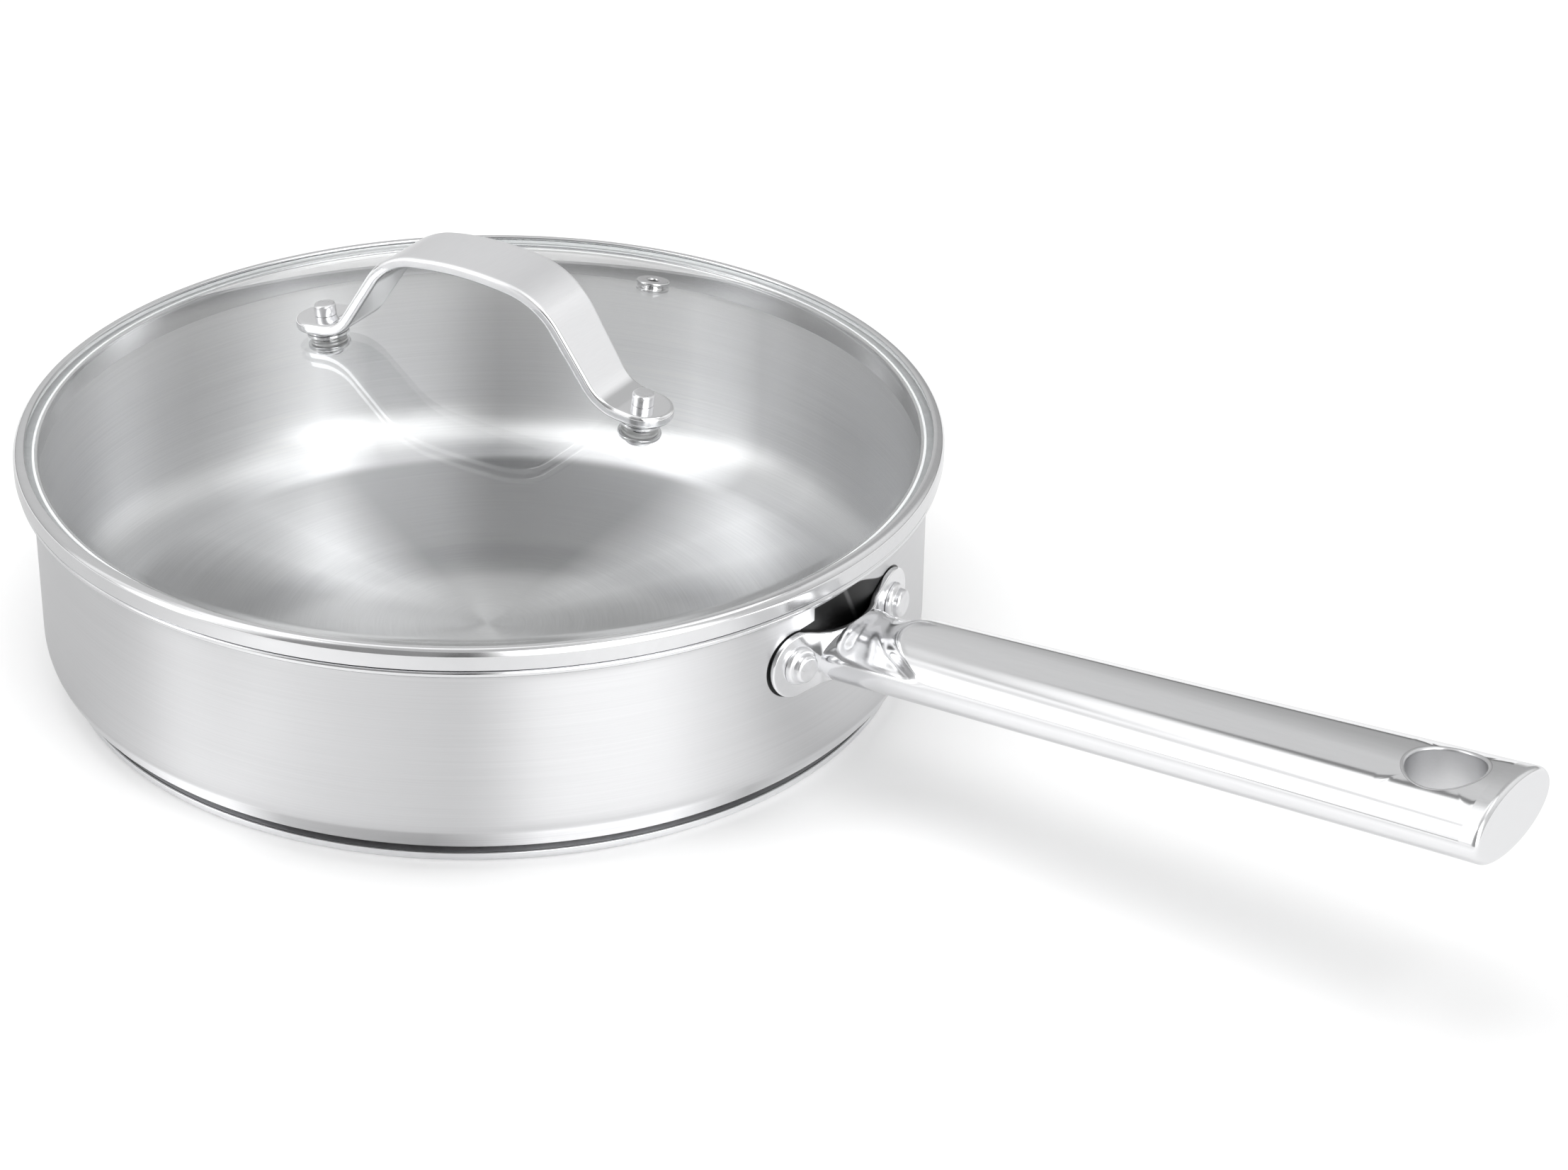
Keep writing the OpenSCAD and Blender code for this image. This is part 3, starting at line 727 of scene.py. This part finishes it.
def makeTube():
    # Rows run from the saddle's face to the end cap, each an outline of tubeRing
    rows, columns = 220, 232
    a = np.linspace(0, 2 * np.pi, columns, endpoint=False)[None, :]
    share = np.linspace(0, 1, rows)[:, None]
    first = tubeRing(np.full_like(share, saddleX), a)
    rise = np.radians(handle["rise"])
    wall = pan["wallRadius"]
    start = (saddleFace(first[..., 1]) - wall + first[..., 2] * np.sin(rise)) / np.cos(rise)
    x = wall + start + (tubeEnd - wall - start) * share
    points = tubeRing(x, a)
    # Both holes of the eye are opened in plan, and the height follows from the plan
    keep = np.ones((rows - 1, columns), bool)
    holeRadius = handle["eyeRadius"] + handle["eyeWall"] + handle["eyeGap"]
    for side, column in ((1, columns // 4), (-1, 3 * columns // 4)):
        row = int(np.argmin(abs(points[:, column, 0] - eyeX)))
        px, py, cells = openHole(points[..., 0], points[..., 1], (eyeX, 0.0), holeRadius,
                                 (row, column), *handle["eyeRings"], stretch=2)
        moved = (px != points[..., 0]) | (py != points[..., 1])
        points[..., 2] = np.where(moved, side * topHeight(px, py), points[..., 2])
        points[..., 0], points[..., 1] = px, py
        keep[:, :columns - 1] &= cells
    tube = makePiece("handleTube", [patch(tilted(points), False, True, keep)], "pan",
                     "polished_steel", looks["polish"], "handle_tube", closed=False)
    thicken(tube, handle["sheet"])


def makeEndCap():
    # Outlines of the tube, drawn in for the plug and along a quarter circle at the rounded edge.
    # The faces at both ends close by drawing their last ring in to the middle.
    a = np.linspace(0, 2 * np.pi, 160, endpoint=False)[None, :]
    inner = handle["sheet"] + handle["plugGap"]
    plugEnd = tubeEnd - handle["plugLength"]
    sweep = np.linspace(0, np.pi / 2, 10)
    k = handle["capRound"]
    x = np.concatenate([[plugEnd, tubeEnd, tubeEnd, tubeEnd + 0.2, handleEnd - k - 0.2],
                        handleEnd - k * (1 - np.sin(sweep))])
    inset = np.concatenate([[inner, inner, 0, 0, 0], k * (1 - np.cos(sweep))])
    rings = tubeRing(x[:, None], a, inset[:, None])
    middle, plugMiddle = np.array([handleEnd, 0, 0]), np.array([plugEnd, 0, 0])
    face = middle + (rings[-1] - middle) * np.linspace(1, 0, 14)[1:, None, None]
    back = plugMiddle + (rings[0] - plugMiddle) * np.linspace(0, 1, 4)[:-1, None, None]
    points = np.concatenate([back, rings, face])
    makePiece("handleEnd", [patch(tilted(points), False, True)], "pan", "polished_steel", looks["end"],
              "handle_end_cap")


def makeEye():
    # Sleeve through the tube: wall, rounded mouth and outer face, each a radius round the eye's
    # axis and a depth under the tube's curve
    r, w, k = handle["eyeRadius"], handle["eyeWall"], handle["eyeRound"]
    turn = np.linspace(0, 2 * np.pi, 144, endpoint=False)[None, :]
    a = np.linspace(0, np.pi / 2, 10)
    radius = np.concatenate([[r + w, r + w], r + k * (1 - np.sin(a)), [r, r]])
    depth = np.concatenate([[handle["eyeSeat"], 0.0], k * (1 - np.cos(a)), [k + 0.3, k + 2]])
    radius = np.concatenate([radius, radius[::-1]])[:, None]
    depth = np.concatenate([depth, depth[::-1]])[:, None]
    side = np.where(np.arange(len(radius)) < len(radius) // 2, 1, -1)[:, None]
    x, y = eyeX + radius * np.cos(turn), radius * np.sin(turn)
    z = side * (topHeight(x, y) - depth)
    makePiece("hangingEye", [patch(tilted(np.stack([x, y, z], -1)), True, True)], "pan", "eye_steel",
              looks["eye"], "hanging_eye")


def makeSaddle():
    # The outline is a round ear at each side, with a straight root and a dipped top between
    s = saddle
    a = np.linspace(-np.pi / 2, np.pi / 2, 260)
    y = (s["rivetY"] + s["ear"]) * np.sin(a)
    ear = np.sqrt(np.maximum(s["ear"] ** 2 - np.maximum(abs(y) - s["rivetY"], 0) ** 2, 0))
    slope = smooth((abs(y) - s["half"]) / (s["rivetY"] - s["half"]))
    high = np.where(abs(y) > s["rivetY"], s["rivetZ"] + ear,
                    s["top"] + (s["rivetZ"] + s["ear"] - s["top"]) * slope)
    root = handle["z"] + s["out"] * np.tan(np.radians(handle["rise"])) - topHeight(saddleX, y)
    low = np.where(abs(y) > s["rivetY"], s["rivetZ"] - ear, np.minimum(root, s["rivetZ"] - s["ear"]))

    def distance(along, across):
        past = s["ear"] - np.hypot(np.maximum(abs(along) - s["rivetY"], 0), across - s["rivetZ"])
        edge = np.minimum(across - low[:, None], high[:, None] - across)
        return np.where(abs(along) > s["rivetY"], past, edge)

    def place(along, across, depth):
        slopeY = (saddleFace(along + 0.05) - saddleFace(along - 0.05)) / 0.1
        size = np.sqrt(1 + slopeY ** 2)
        x = saddleFace(along) - depth / size
        return np.stack(np.broadcast_arrays(x, along + depth * slopeY / size, across), -1)

    makePlate("handleSaddle", y, low, high, distance, s["thick"], s["rounding"], place, 48,
              body="pan", slot="polished_steel", look=looks["polish"], node="handle_saddle")


rivet = {
    "shank": 2.5,
    "head": 5.2,
    "step": 1.5,
    "stub": 3.8,
    "height": 3.5,
    "taper": 0.1,
    "rounding": 1.1,
    "innerHead": 5.5,
    "innerHeight": 1.8,
    "innerGap": 0.2,
}


def makeRivets():
    t, r = saddle["thick"], rivet
    inner = -pan["wall"] - r["innerGap"]
    line = roundedLine([
        (0, inner - r["innerHeight"], 0), (r["innerHead"], inner - r["innerHeight"], 1.0),
        (r["innerHead"], inner, 0.2), (r["shank"], inner, 0), (r["shank"], t, 0),
        (r["head"], t, 0.2), (r["head"] - r["taper"], t + r["step"], r["rounding"]),
        (r["stub"] + r["taper"], t + r["step"], 0.3), (r["stub"], t + r["height"], r["rounding"]),
        (0, t + r["height"], 0)])
    swing = np.degrees(np.arcsin(saddle["rivetY"] / (pan["wallRadius"] + t)))

    def onWall(side):
        def place(points):
            out = turned(points, "y", 90) + [pan["wallRadius"], 0, saddle["rivetZ"]]
            return turned(out, "z", side * swing)
        return place

    makePiece("handleRivets", [revolve(line, 96, place=onWall(side)) for side in (-1, 1)], "pan",
              "polished_steel", looks["rivet"], "handle_rivets")


# Lid

lid = {
    "turn": 5.0,
    "steps": 312,           # round the ring, its bedding and the glass alike
    "ringRadius": 126.96,
    "strip": 0.8,
    "ringZ": 62.3,
    "ringRound": 2.2,
    "lipIn": 1.9,           # from the glass's level rim to the ring's edge over it
    "gap": 0.3,             # under the ring's outer edge, where it turns up
    "gapWidth": 2.2,
    "skirtRadius": 120.7,
    "skirt": 5.4,
    "bed": 0.4,
    "glass": 4.0,
    "rise": 17.5,
    "flat": 5.0,
    "fillet": 8.0,
    "evenTo": 118,          # the glass's grid has a ring of points at each millimetre to here
    "holeRings": (4, 9),    # rings of its cells that turn into a hole's edge
}
glassZ = lid["ringZ"] + lid["strip"] + lid["bed"]
rimPlane = glassZ + lid["glass"]
ringTop = rimPlane + lid["strip"]
glassRadius = lid["ringRadius"] - lid["strip"] - lid["bed"]
domeEdge = glassRadius - lid["flat"]
domeRadius = (domeEdge ** 2 + lid["rise"] ** 2) / (2 * lid["rise"])
domeZ = rimPlane + lid["rise"] - domeRadius
domeSlope = np.arcsin(domeEdge / domeRadius)
flatStart = domeEdge + lid["fillet"] * np.tan(domeSlope / 2)
edgeRound = lid["ringRound"] - lid["strip"]

hardware = {
    "postX": 51.4,
    "postRadius": 3.05,
    "postHeight": 3.3,
    "postRound": 0.7,
    "sleeve": 2.5,
    "hole": 2.8,
    "washer": 5.9,
    "washerHeight": 1.95,
    "groove": 0.12,         # half its width
    "grooveDepth": 0.7,
    "outerGasket": 0.45,
    "gasket": 5.7,
    "gasketHeight": 1.0,
    "innerGasket": 5.0,
    "gasketGap": 0.2,
    "innerWasher": 1.0,
    "screw": 1.5,
    "screwGap": 0.3,
    "threadGap": 0.05,
    "screwHead": 4.0,
    "screwHeight": 2.2,
    "socket": 1.6,
    "socketDepth": 1.2,
    "ventIn": 38.0,
    "ventRadius": 1.7,
    "ventFlange": 4.8,
    "ventHeight": 1.0,
    "ventNeck": 2.7,
    "ventFoot": 0.5,
    "ventWasher": 0.8,
    "ventHole": 3.0,
    "ventGap": 0.05,
}
postLean = np.degrees(np.arcsin(hardware["postX"] / domeRadius))
ventAway = glassRadius - hardware["ventIn"]
ventLean = np.degrees(np.arcsin(ventAway / domeRadius))


def onLid(points):
    return turned(points, "z", lid["turn"])


def onDome(axis, lean):
    # Stands a small part on the dome, square to its face, leaning out by this angle
    def place(points):
        out = turned(points + [0, 0, domeRadius], axis, lean) + [0, 0, domeZ]
        return onLid(out)
    return place


bothPosts = [onDome("y", side * postLean) for side in (-1, 1)]


def domeHeight(r, below):
    # Height of the glass's upper face, or of its lower one. The dome is a circle's arc, then
    # comes the arc of the curve, which bends the other way, and then the level rim.
    dome = domeZ + np.sqrt((domeRadius - below) ** 2 - np.minimum(r, flatStart) ** 2)
    centreZ, radius = rimPlane + lid["fillet"], lid["fillet"] + below
    start = flatStart - radius * np.sin(domeSlope)
    curve = centreZ - np.sqrt(np.maximum(radius ** 2 - (np.minimum(r, flatStart) - flatStart) ** 2, 0))
    return np.where(r < start, dome, np.where(r < flatStart, curve, rimPlane - below))


def squareRing(size):
    # Grid steps round a square of this half size, one point after the other
    side, edge = np.arange(-size, size), np.full(2 * size, size)
    return np.concatenate([side, edge, -side, -edge]), np.concatenate([-edge, side, edge, -side])


def makeGlass():
    # Both faces are grids of radius and turn. Each hole is opened at the same grid point in both,
    # and the rings of points at its edge are joined by a wall.
    h, steps = hardware, lid["steps"]
    start, even = glassRadius - edgeRound, lid["evenTo"]
    radii = np.concatenate([np.arange(even + 1.0), np.linspace(even + 0.6, start, 20)])
    turn = np.linspace(0, 2 * np.pi, steps, endpoint=False)
    holes = [(side * h["postX"], 0.0, h["hole"], postLean) for side in (1, -1)]
    holes.append((0.0, ventAway, h["ventHole"], ventLean))
    spots = [(int(round(np.hypot(cx, cy))),
              int(round(np.degrees(np.arctan2(cy, cx)) % 360 / 360 * steps)))
             for cx, cy, size, lean in holes]
    ringI, ringJ = squareRing(lid["holeRings"][0])
    parts, rims = [], [[] for hole in holes]
    for below in (0.0, lid["glass"]):
        px, py = radii[:, None] * np.cos(turn), radii[:, None] * np.sin(turn)
        keep = np.ones((len(radii) - 1, steps), bool)
        for (cx, cy, size, lean), (row, column) in zip(holes, spots):
            shift = 1 - below * np.sin(np.radians(lean)) / np.hypot(cx, cy)
            roll = steps // 2 - column      # the grid is rolled so that no hole lies on its seam
            px, py, cells = openHole(np.roll(px, roll, 1), np.roll(py, roll, 1),
                                     (cx * shift, cy * shift), size, (row, steps // 2), *lid["holeRings"])
            px, py = np.roll(px, -roll, 1), np.roll(py, -roll, 1)
            full = np.ones_like(keep)
            full[:, :steps - 1] = cells
            keep &= np.roll(full, -roll, 1)
        points = onLid(np.stack([px, py, domeHeight(np.hypot(px, py), below)], -1))
        parts.append(patch(points, False, True, keep))
        for rim, (row, column) in zip(rims, spots):
            rim.append(points[row + ringI, (column + ringJ) % steps])
    parts += [patch(np.stack(rim), False, True) for rim in rims]
    edgeLine = roundedLine([
        (start - 0.01, rimPlane, 0), (glassRadius, rimPlane, edgeRound * 0.99),
        (glassRadius, glassZ, edgeRound * 0.99), (start - 0.01, glassZ, 0)])
    edgeLine[0, 0] = edgeLine[-1, 0] = start
    parts.append(revolve(edgeLine, steps, place=onLid))
    makePiece("lidGlass", parts, "lid", "clear_glass", looks["glass"], "lid_glass")


def makeRing():
    r, s, z = lid["ringRadius"], lid["strip"], lid["ringZ"]
    inner = lid["skirtRadius"] - s
    lipIn = flatStart + lid["lipIn"]
    line = roundedLine([
        (inner, z - lid["skirt"], 0.25), (inner + s, z - lid["skirt"], 0.25), (inner + s, z, 0.3),
        (r - lid["gapWidth"], z, 0.8), (r, z + lid["gap"], s * 0.7), (r, ringTop, lid["ringRound"]),
        (lipIn, ringTop, s * 0.48), (lipIn, rimPlane, s * 0.48), (r - s, rimPlane, edgeRound),
        (r - s, z + s, 0.3), (inner, z + s, 0.3)], closed=True)
    makePiece("lidRing", [revolve(line, lid["steps"], True, onLid)], "lid", "ring_steel", looks["ring"],
              "lid_ring")
    bedIn = flatStart - s
    line = roundedLine([
        (bedIn, z + s, 0.15), (r - s, z + s, 0), (r - s, rimPlane - edgeRound, 0),
        (glassRadius, rimPlane - edgeRound, 0), (glassRadius, glassZ, 0), (bedIn, glassZ, 0.15)],
        closed=True)
    makePiece("glassBedding", [revolve(line, lid["steps"], True, onLid)], "lid", "sealant",
              looks["seal"], "glass_bedding")


def washerLine(inner, outer, low, high, rounding):
    return roundedLine([(inner, low, rounding), (outer, low, rounding), (outer, high, rounding),
                        (inner, high, rounding)], closed=True)


def makeHardware():
    # Each part of the two clamps and the vent is a line revolved and stood on the dome; heights
    # are from the glass's upper face
    h, glass = hardware, -lid["glass"]
    gasketTop = h["washerHeight"] + h["outerGasket"]
    footTop = gasketTop + strap["thick"]
    under = glass - h["gasketHeight"]
    base = under - h["innerWasher"]
    bore = h["screw"] + h["threadGap"]
    post = roundedLine([
        (0, gasketTop + 1, 0), (bore, gasketTop + 1, 0), (bore, glass, 0), (h["sleeve"], glass, 0.1),
        (h["sleeve"], footTop, 0), (h["postRadius"], footTop + 0.05, 0.1),
        (h["postRadius"], footTop + h["postHeight"], h["postRound"]), (0, footTop + h["postHeight"], 0)])
    makePiece("strapPosts", [revolve(post, 80, place=p) for p in bothPosts], "lid", "polished_steel",
              looks["rivet"], "strap_posts")
    middle = h["washerHeight"] / 2
    grooved = roundedLine([
        (h["hole"], 0, 0.2), (h["washer"], 0, 0.25), (h["washer"], middle - h["groove"], 0.15),
        (h["washer"] - h["grooveDepth"], middle, 0), (h["washer"], middle + h["groove"], 0.15),
        (h["washer"], h["washerHeight"], 0.25), (h["hole"], h["washerHeight"], 0.2)], closed=True)
    for name, node, slot, look, line in [
            ("outerWashers", "outer_washers", "washer_steel", "washer", grooved),
            ("outerGaskets", "outer_gaskets", "gasket_rubber", "rubber",
             washerLine(h["hole"], h["gasket"], h["washerHeight"], gasketTop, 0.3)),
            ("innerGaskets", "inner_gaskets", "gasket_rubber", "paleRubber",
             washerLine(h["hole"], h["innerGasket"], under, glass - h["gasketGap"], 0.3)),
            ("innerWashers", "inner_washers", "washer_steel", "washer",
             washerLine(h["screw"] + h["screwGap"], h["washer"], base, under, 0.25))]:
        makePiece(name, [revolve(line, 112, True, p) for p in bothPosts], "lid", slot, looks[look], node)
    head = base - h["screwHeight"]
    screw = roundedLine([
        (0, head + h["socketDepth"], 0), (h["socket"], head + h["socketDepth"], 0),
        (h["socket"] + 0.1, head, 0.1), (h["screwHead"], head, 1.2), (h["screwHead"], base, 0.1),
        (h["screw"], base, 0), (h["screw"], gasketTop, 0.3), (0, gasketTop, 0)])
    makePiece("strapScrews", [revolve(screw, 80, place=p) for p in bothPosts], "lid", "polished_steel",
              looks["washer"], "strap_screws")
    onVent = onDome("x", -ventLean)
    bottom = glass - h["ventWasher"]
    foot = h["ventNeck"] + h["ventFoot"]
    low, high, roll = h["ventGap"], h["ventGap"] + h["ventHeight"], h["ventHeight"] / 2
    vent = roundedLine([
        (h["ventRadius"], bottom - h["ventFoot"], 0.1), (foot, bottom - h["ventFoot"], 0.2),
        (foot, bottom, 0.1), (h["ventNeck"], bottom, 0), (h["ventNeck"], low, 0),
        (h["ventFlange"], low, roll * 0.95), (h["ventFlange"], high, roll * 0.95),
        (h["ventRadius"], high, roll * 1.2)], closed=True, step=5)
    makePiece("ventEyelet", [revolve(vent, 112, True, onVent)], "lid", "polished_steel", looks["vent"],
              "vent_eyelet")
    line = washerLine(h["ventNeck"] + h["ventGap"], h["ventFlange"], bottom, glass - 2 * h["ventGap"],
                      0.15)
    makePiece("ventWasher", [revolve(line, 96, True, onVent)], "lid", "washer_steel", looks["washer"],
              "vent_washer")


strap = {
    "rise": 31.0,
    "width": 21.2,
    "footWidth": 16.4,
    "thick": 3.2,
    "crown": 98.0,          # radii of the side view's three bends, and the slopes between them
    "crownAngle": 9.0,
    "shoulder": 23.5,
    "legAngle": 56.5,
    "bend": 11.5,
    "toe": 8.6,
    "taperFrom": 0.6,       # the share of the crown's reach where the sides start to draw in
    "rounding": 1.0,
}


def makeStrap():
    # The side view is a line whose slope goes from level over the crown to the legs' slope and back
    # to the feet's: each arc adds radius * angle to its length, and x and z are the sums of
    # cos(slope) and -sin(slope) along it
    s = strap
    footTop = hardware["washerHeight"] + hardware["outerGasket"] + s["thick"]
    footX = (domeRadius + footTop) * np.sin(np.radians(postLean))
    footZ = domeZ + (domeRadius + footTop) * np.cos(np.radians(postLean))
    crown, leg, foot = np.radians([s["crownAngle"], s["legAngle"], postLean])
    drop = s["crown"] * (1 - np.cos(crown)) + s["shoulder"] * (np.cos(crown) - np.cos(leg))
    drop += s["bend"] * (np.cos(foot) - np.cos(leg))
    reach = s["crown"] * np.sin(crown) + s["shoulder"] * (np.sin(leg) - np.sin(crown))
    reach += s["bend"] * (np.sin(leg) - np.sin(foot))
    legLength = (s["rise"] - drop - (footX - reach) * np.tan(foot)) / (
        np.sin(leg) - np.cos(leg) * np.tan(foot))
    footLength = (footX - reach - legLength * np.cos(leg)) / np.cos(foot) + s["toe"]
    knots = np.cumsum([0, s["crown"] * crown, s["shoulder"] * (leg - crown), legLength,
                       s["bend"] * (leg - foot), footLength])
    slopes = np.array([0, crown, leg, leg, foot, foot])
    total = knots[-1]
    fine = np.linspace(0, total, 6001)
    angle = np.interp(fine, knots, slopes)
    halfway, length = (angle[1:] + angle[:-1]) / 2, fine[1] - fine[0]
    xFine = np.concatenate([[0], np.cumsum(np.cos(halfway))]) * length
    zFine = -np.concatenate([[0], np.cumsum(np.sin(halfway))]) * length
    # Stations are closer together near the toes, where the outline is a half circle. Before that
    # the sides draw in from the crown to the posts.
    toe = s["footWidth"] / 2
    taperStart, taperEnd = s["crown"] * np.sin(crown) * s["taperFrom"], footX - hardware["postRadius"]
    right = np.concatenate([np.linspace(0, total - toe, 110),
                            total - toe + toe * np.sin(np.linspace(0, np.pi / 2, 30))[1:]])
    along = np.concatenate([-right[:0:-1], right])

    def sideAt(a):
        drawn = smooth((np.interp(abs(a), fine, xFine) - taperStart) / (taperEnd - taperStart))
        return s["width"] / 2 + (toe - s["width"] / 2) * drawn

    past = np.maximum(abs(along) - (total - toe), 0)
    wide = np.where(past > 0, np.sqrt(np.maximum(toe ** 2 - past ** 2, 0)), sideAt(along))

    def distance(a, b):
        over = np.maximum(abs(a) - (total - toe), 0)
        return np.where(over > 0, toe - np.hypot(over, b), sideAt(a) - abs(b))

    def place(a, b, depth):
        u = abs(a)
        slope = np.interp(u, fine, angle)
        x = np.interp(u, fine, xFine) - depth * np.sin(slope)
        z = footZ + s["rise"] + np.interp(u, fine, zFine) - depth * np.cos(slope)
        return onLid(np.stack(np.broadcast_arrays(np.sign(a) * x, b, z), -1))

    makePlate("lidStrap", along, -wide, wide, distance, s["thick"], s["rounding"], place, 44,
              body="lid", slot="satin_steel", look=looks["strap"], node="lid_strap")


# Room: a pale floor, one large soft lamp overhead and a sky that the steel mirrors. In front of
# the pan the sky changes with direction like a row of lamps, and behind it with height.

room = {
    "floorSize": 6.0,
    "floorColour": 0.93,
    "floorLift": 0.13,      # added glow that the camera and mirrors see, so that the floor is white
    # painted shade on the floor that only mirrors see, by direction, out to the distances in mirroredTo
    "mirroredFloor": [(0.03, 0.6), (0.22, 1.0), (0.5, 0.77), (0.77, 1.0), (0.93, 0.85), (1.0, 0.8)],
    "mirroredTo": (0.3, 0.8),
    "lampPower": 7.0,
    "lampSize": (1.1, 0.8),
    "lampPlace": (-0.15, -0.05, 1.3),
    "skyGain": 1.25,
    "plainSky": 0.6,        # what the sky adds to the floor and other dull surfaces
    "front": [(0.0, 0.25), (0.012, 1.0), (0.035, 1.0), (0.05, 0.28), (0.1, 0.25), (0.16, 0.08),
              (0.44, 0.08), (0.485, 0.03), (0.515, 0.03), (0.56, 0.15), (0.65, 0.9), (0.88, 0.9),
              (0.95, 0.18), (1.0, 0.15)],
    "frontGain": 3.2,
    "behind": [(0.0, 0.3), (0.05, 0.34), (0.3, 0.37), (0.6, 0.4), (0.79, 0.4), (0.83, 0.8),
               (0.92, 0.8), (0.98, 0.42)],
    "behindGain": 2.2,
    "behindAcross": [(0.0, 0.62), (0.5, 0.62), (0.57, 0.45), (0.8, 0.45), (0.9, 0.85), (1.0, 0.85)],
    "behindFrom": (-0.25, 0.35),
    "edgeLow": (0.775, 0.79),       # a dark edge between two lamps, which the handle mirrors
    "edgeHigh": (0.81, 0.825),
    "edgeRight": (-0.6, -0.36),
    "edgeDark": 0.7,
    "top": [(0.93, 0.62), (0.985, 0.4)],
    "topFrom": (0.86, 0.96),
    "horizon": 0.45,        # the share of light that is left along the horizon
    "horizonZ": (0.0, 0.09),
}


def makeFloor():
    half = room["floorSize"] / 2
    data = bpy.data.meshes.new("floor")
    data.from_pydata([(-half, -half, 0), (half, -half, 0), (half, half, 0), (-half, half, 0)], [],
                     [(0, 1, 2, 3)])
    made, s = newMaterial("floorPaper")
    mottle = s.noise(s.place(), 3.0)
    colour = s.blend(mottle, grey(room["floorColour"] - 0.01), grey(room["floorColour"] + 0.01))
    # Painted shade that only mirrors see: there the floor near the pan darkens with direction, as under a
    # row of lamps
    x, y, _ = s.split(s.place())
    away = (x * x + y * y + 1e-6) ** 0.5
    row = s.ramp(viewPart(x, y, 1, 0) / away * 0.5 + 0.5, room["mirroredFloor"])
    path = s.add("LightPath")
    mirroredShade = path["Is Glossy Ray"] * (1 - row) * (1 - away.step(*room["mirroredTo"]))
    colour = s.blend(mirroredShade, colour, grey(0.0))
    paper = s.add("BsdfPrincipled", None, {"Base Color": colour, "Roughness": 0.9, "IOR": 1.2})
    seen = path["Is Camera Ray"] + path["Is Glossy Ray"] + path["Is Transmission Ray"]
    glow = s.add("Emission", None, {"Color": grey(1.0), "Strength": room["floorLift"]})
    both = s.add("AddShader", None, [paper[0], glow[0]])
    mixed = s.add("MixShader", None, [seen.step(0.0, 1.0), paper[0], both[0]])
    s.add("OutputMaterial", None, {"Surface": mixed[0]})
    data.materials.append(made)
    floor = bpy.data.objects.new("floor", data)
    bpy.context.scene.collection.objects.link(floor)


def makeLamp():
    data = bpy.data.lights.new("softbox", "AREA")
    data.shape, data.energy = "RECTANGLE", room["lampPower"]
    data.size, data.size_y = room["lampSize"]
    lamp = bpy.data.objects.new("softbox", data)
    bpy.context.scene.collection.objects.link(lamp)
    place = fromView(*room["lampPlace"])
    back = place / np.linalg.norm(place)    # it shines at the middle of the pan's base
    side = np.cross(fromView(0, 1, 0), back)
    side = side / np.linalg.norm(side)
    turn = np.eye(4)
    turn[:3, 0], turn[:3, 1], turn[:3, 2], turn[:3, 3] = side, np.cross(back, side), back, place
    lamp.matrix_world = turn.T
    lamp.visible_glossy = False     # the steel mirrors the sky instead


def makeSky():
    world = bpy.data.worlds.new("sky")
    world.use_nodes = True
    bpy.context.scene.world = world
    s = Shader(world.node_tree)
    x, y, z = s.split(s.add("TexCoord")["Generated"])
    level = (x * x + y * y + 1e-6) ** 0.5
    right, away = viewPart(x, y, 1, 0) / level, viewPart(x, y, 0, 1) / level
    front = s.scaled(s.ramp(right * 0.5 + 0.5, room["front"]), room["frontGain"])
    sky = s.blend(z.step(*room["topFrom"]), front, s.ramp(z, room["top"]))
    edge = z.step(*room["edgeLow"]) * (1 - z.step(*room["edgeHigh"])) * right.step(*room["edgeRight"])
    across = s.ramp(right * 0.5 + 0.5, room["behindAcross"])
    gain = across * (1 - edge * room["edgeDark"]) * room["behindGain"]
    behind = s.scaled(s.ramp(z, room["behind"]), gain)
    sky = s.blend(away.step(*room["behindFrom"]), sky, behind)
    sky = s.scaled(sky, z.step(*room["horizonZ"]).fit(room["horizon"], 1.0) * room["skyGain"])
    mirrored = s.add("Background", None, {"Color": sky, "Strength": 1.0})
    white = s.add("Background", None, {"Color": grey(1.0), "Strength": 1.0})
    plain = s.add("Background", None, {"Color": grey(room["plainSky"]), "Strength": 1.0})
    path = s.add("LightPath")
    mixed = s.add("MixShader", None, [path["Is Diffuse Ray"], mirrored[0], plain[0]])
    mixed = s.add("MixShader", None, [path["Is Camera Ray"], mixed[0], white[0]])
    s.add("OutputWorld", None, {"Surface": mixed[0]})


# Everything is made here, now that all sizes are known

looks = {
    "shell": shellSteel(),
    "base": baseSteel(),
    "polish": polishedSteel("polishedSteel", 0.86, low=0.045, high=0.1, dull=(148.0, 170.0)),
    "ring": polishedSteel("ringSteel", 0.78, low=0.12, high=0.18, grain=500.0),
    "washer": polishedSteel("washerSteel", 0.84, low=0.12, high=0.22, grain=1200.0),
    "vent": polishedSteel("ventSteel", 0.66, low=0.2, high=0.3, grain=1200.0),
    "eye": polishedSteel("eyeSteel", 0.7, low=0.28, high=0.4, grain=1500.0),
    "end": polishedSteel("endSteel", 0.86, low=0.16, high=0.26, grain=1400.0),
    "rivet": rivetSteel(),
    "strap": strapSteel(),
    "glass": clearGlass(),
    "rubber": plainFinish("gasketRubber", (0.035, 0.035, 0.036), (0.06, 0.06, 0.06), rough=0.55,
                          grain=900.0),
    "paleRubber": plainFinish("innerGasketRubber", (0.4, 0.4, 0.4), (0.5, 0.5, 0.5), rough=0.5,
                              grain=900.0),
    "seal": plainFinish("sealant", (0.72, 0.73, 0.74), (0.82, 0.83, 0.84), rough=0.4, grain=300.0),
    "core": plainFinish("coreAluminium", (0.6, 0.6, 0.61), (0.72, 0.72, 0.73), rough=0.35, grain=700.0,
                        metallic=1.0),
}
print("materials made")

makePan()
print("pan made")

makeTube()
makeEndCap()
makeEye()
makeSaddle()
makeRivets()
print("handle made")

makeGlass()
makeRing()
makeHardware()
makeStrap()
print("lid made")

makeFloor()
makeLamp()
makeSky()
bpy.context.scene.view_settings.view_transform = "Standard"
print("room lit")
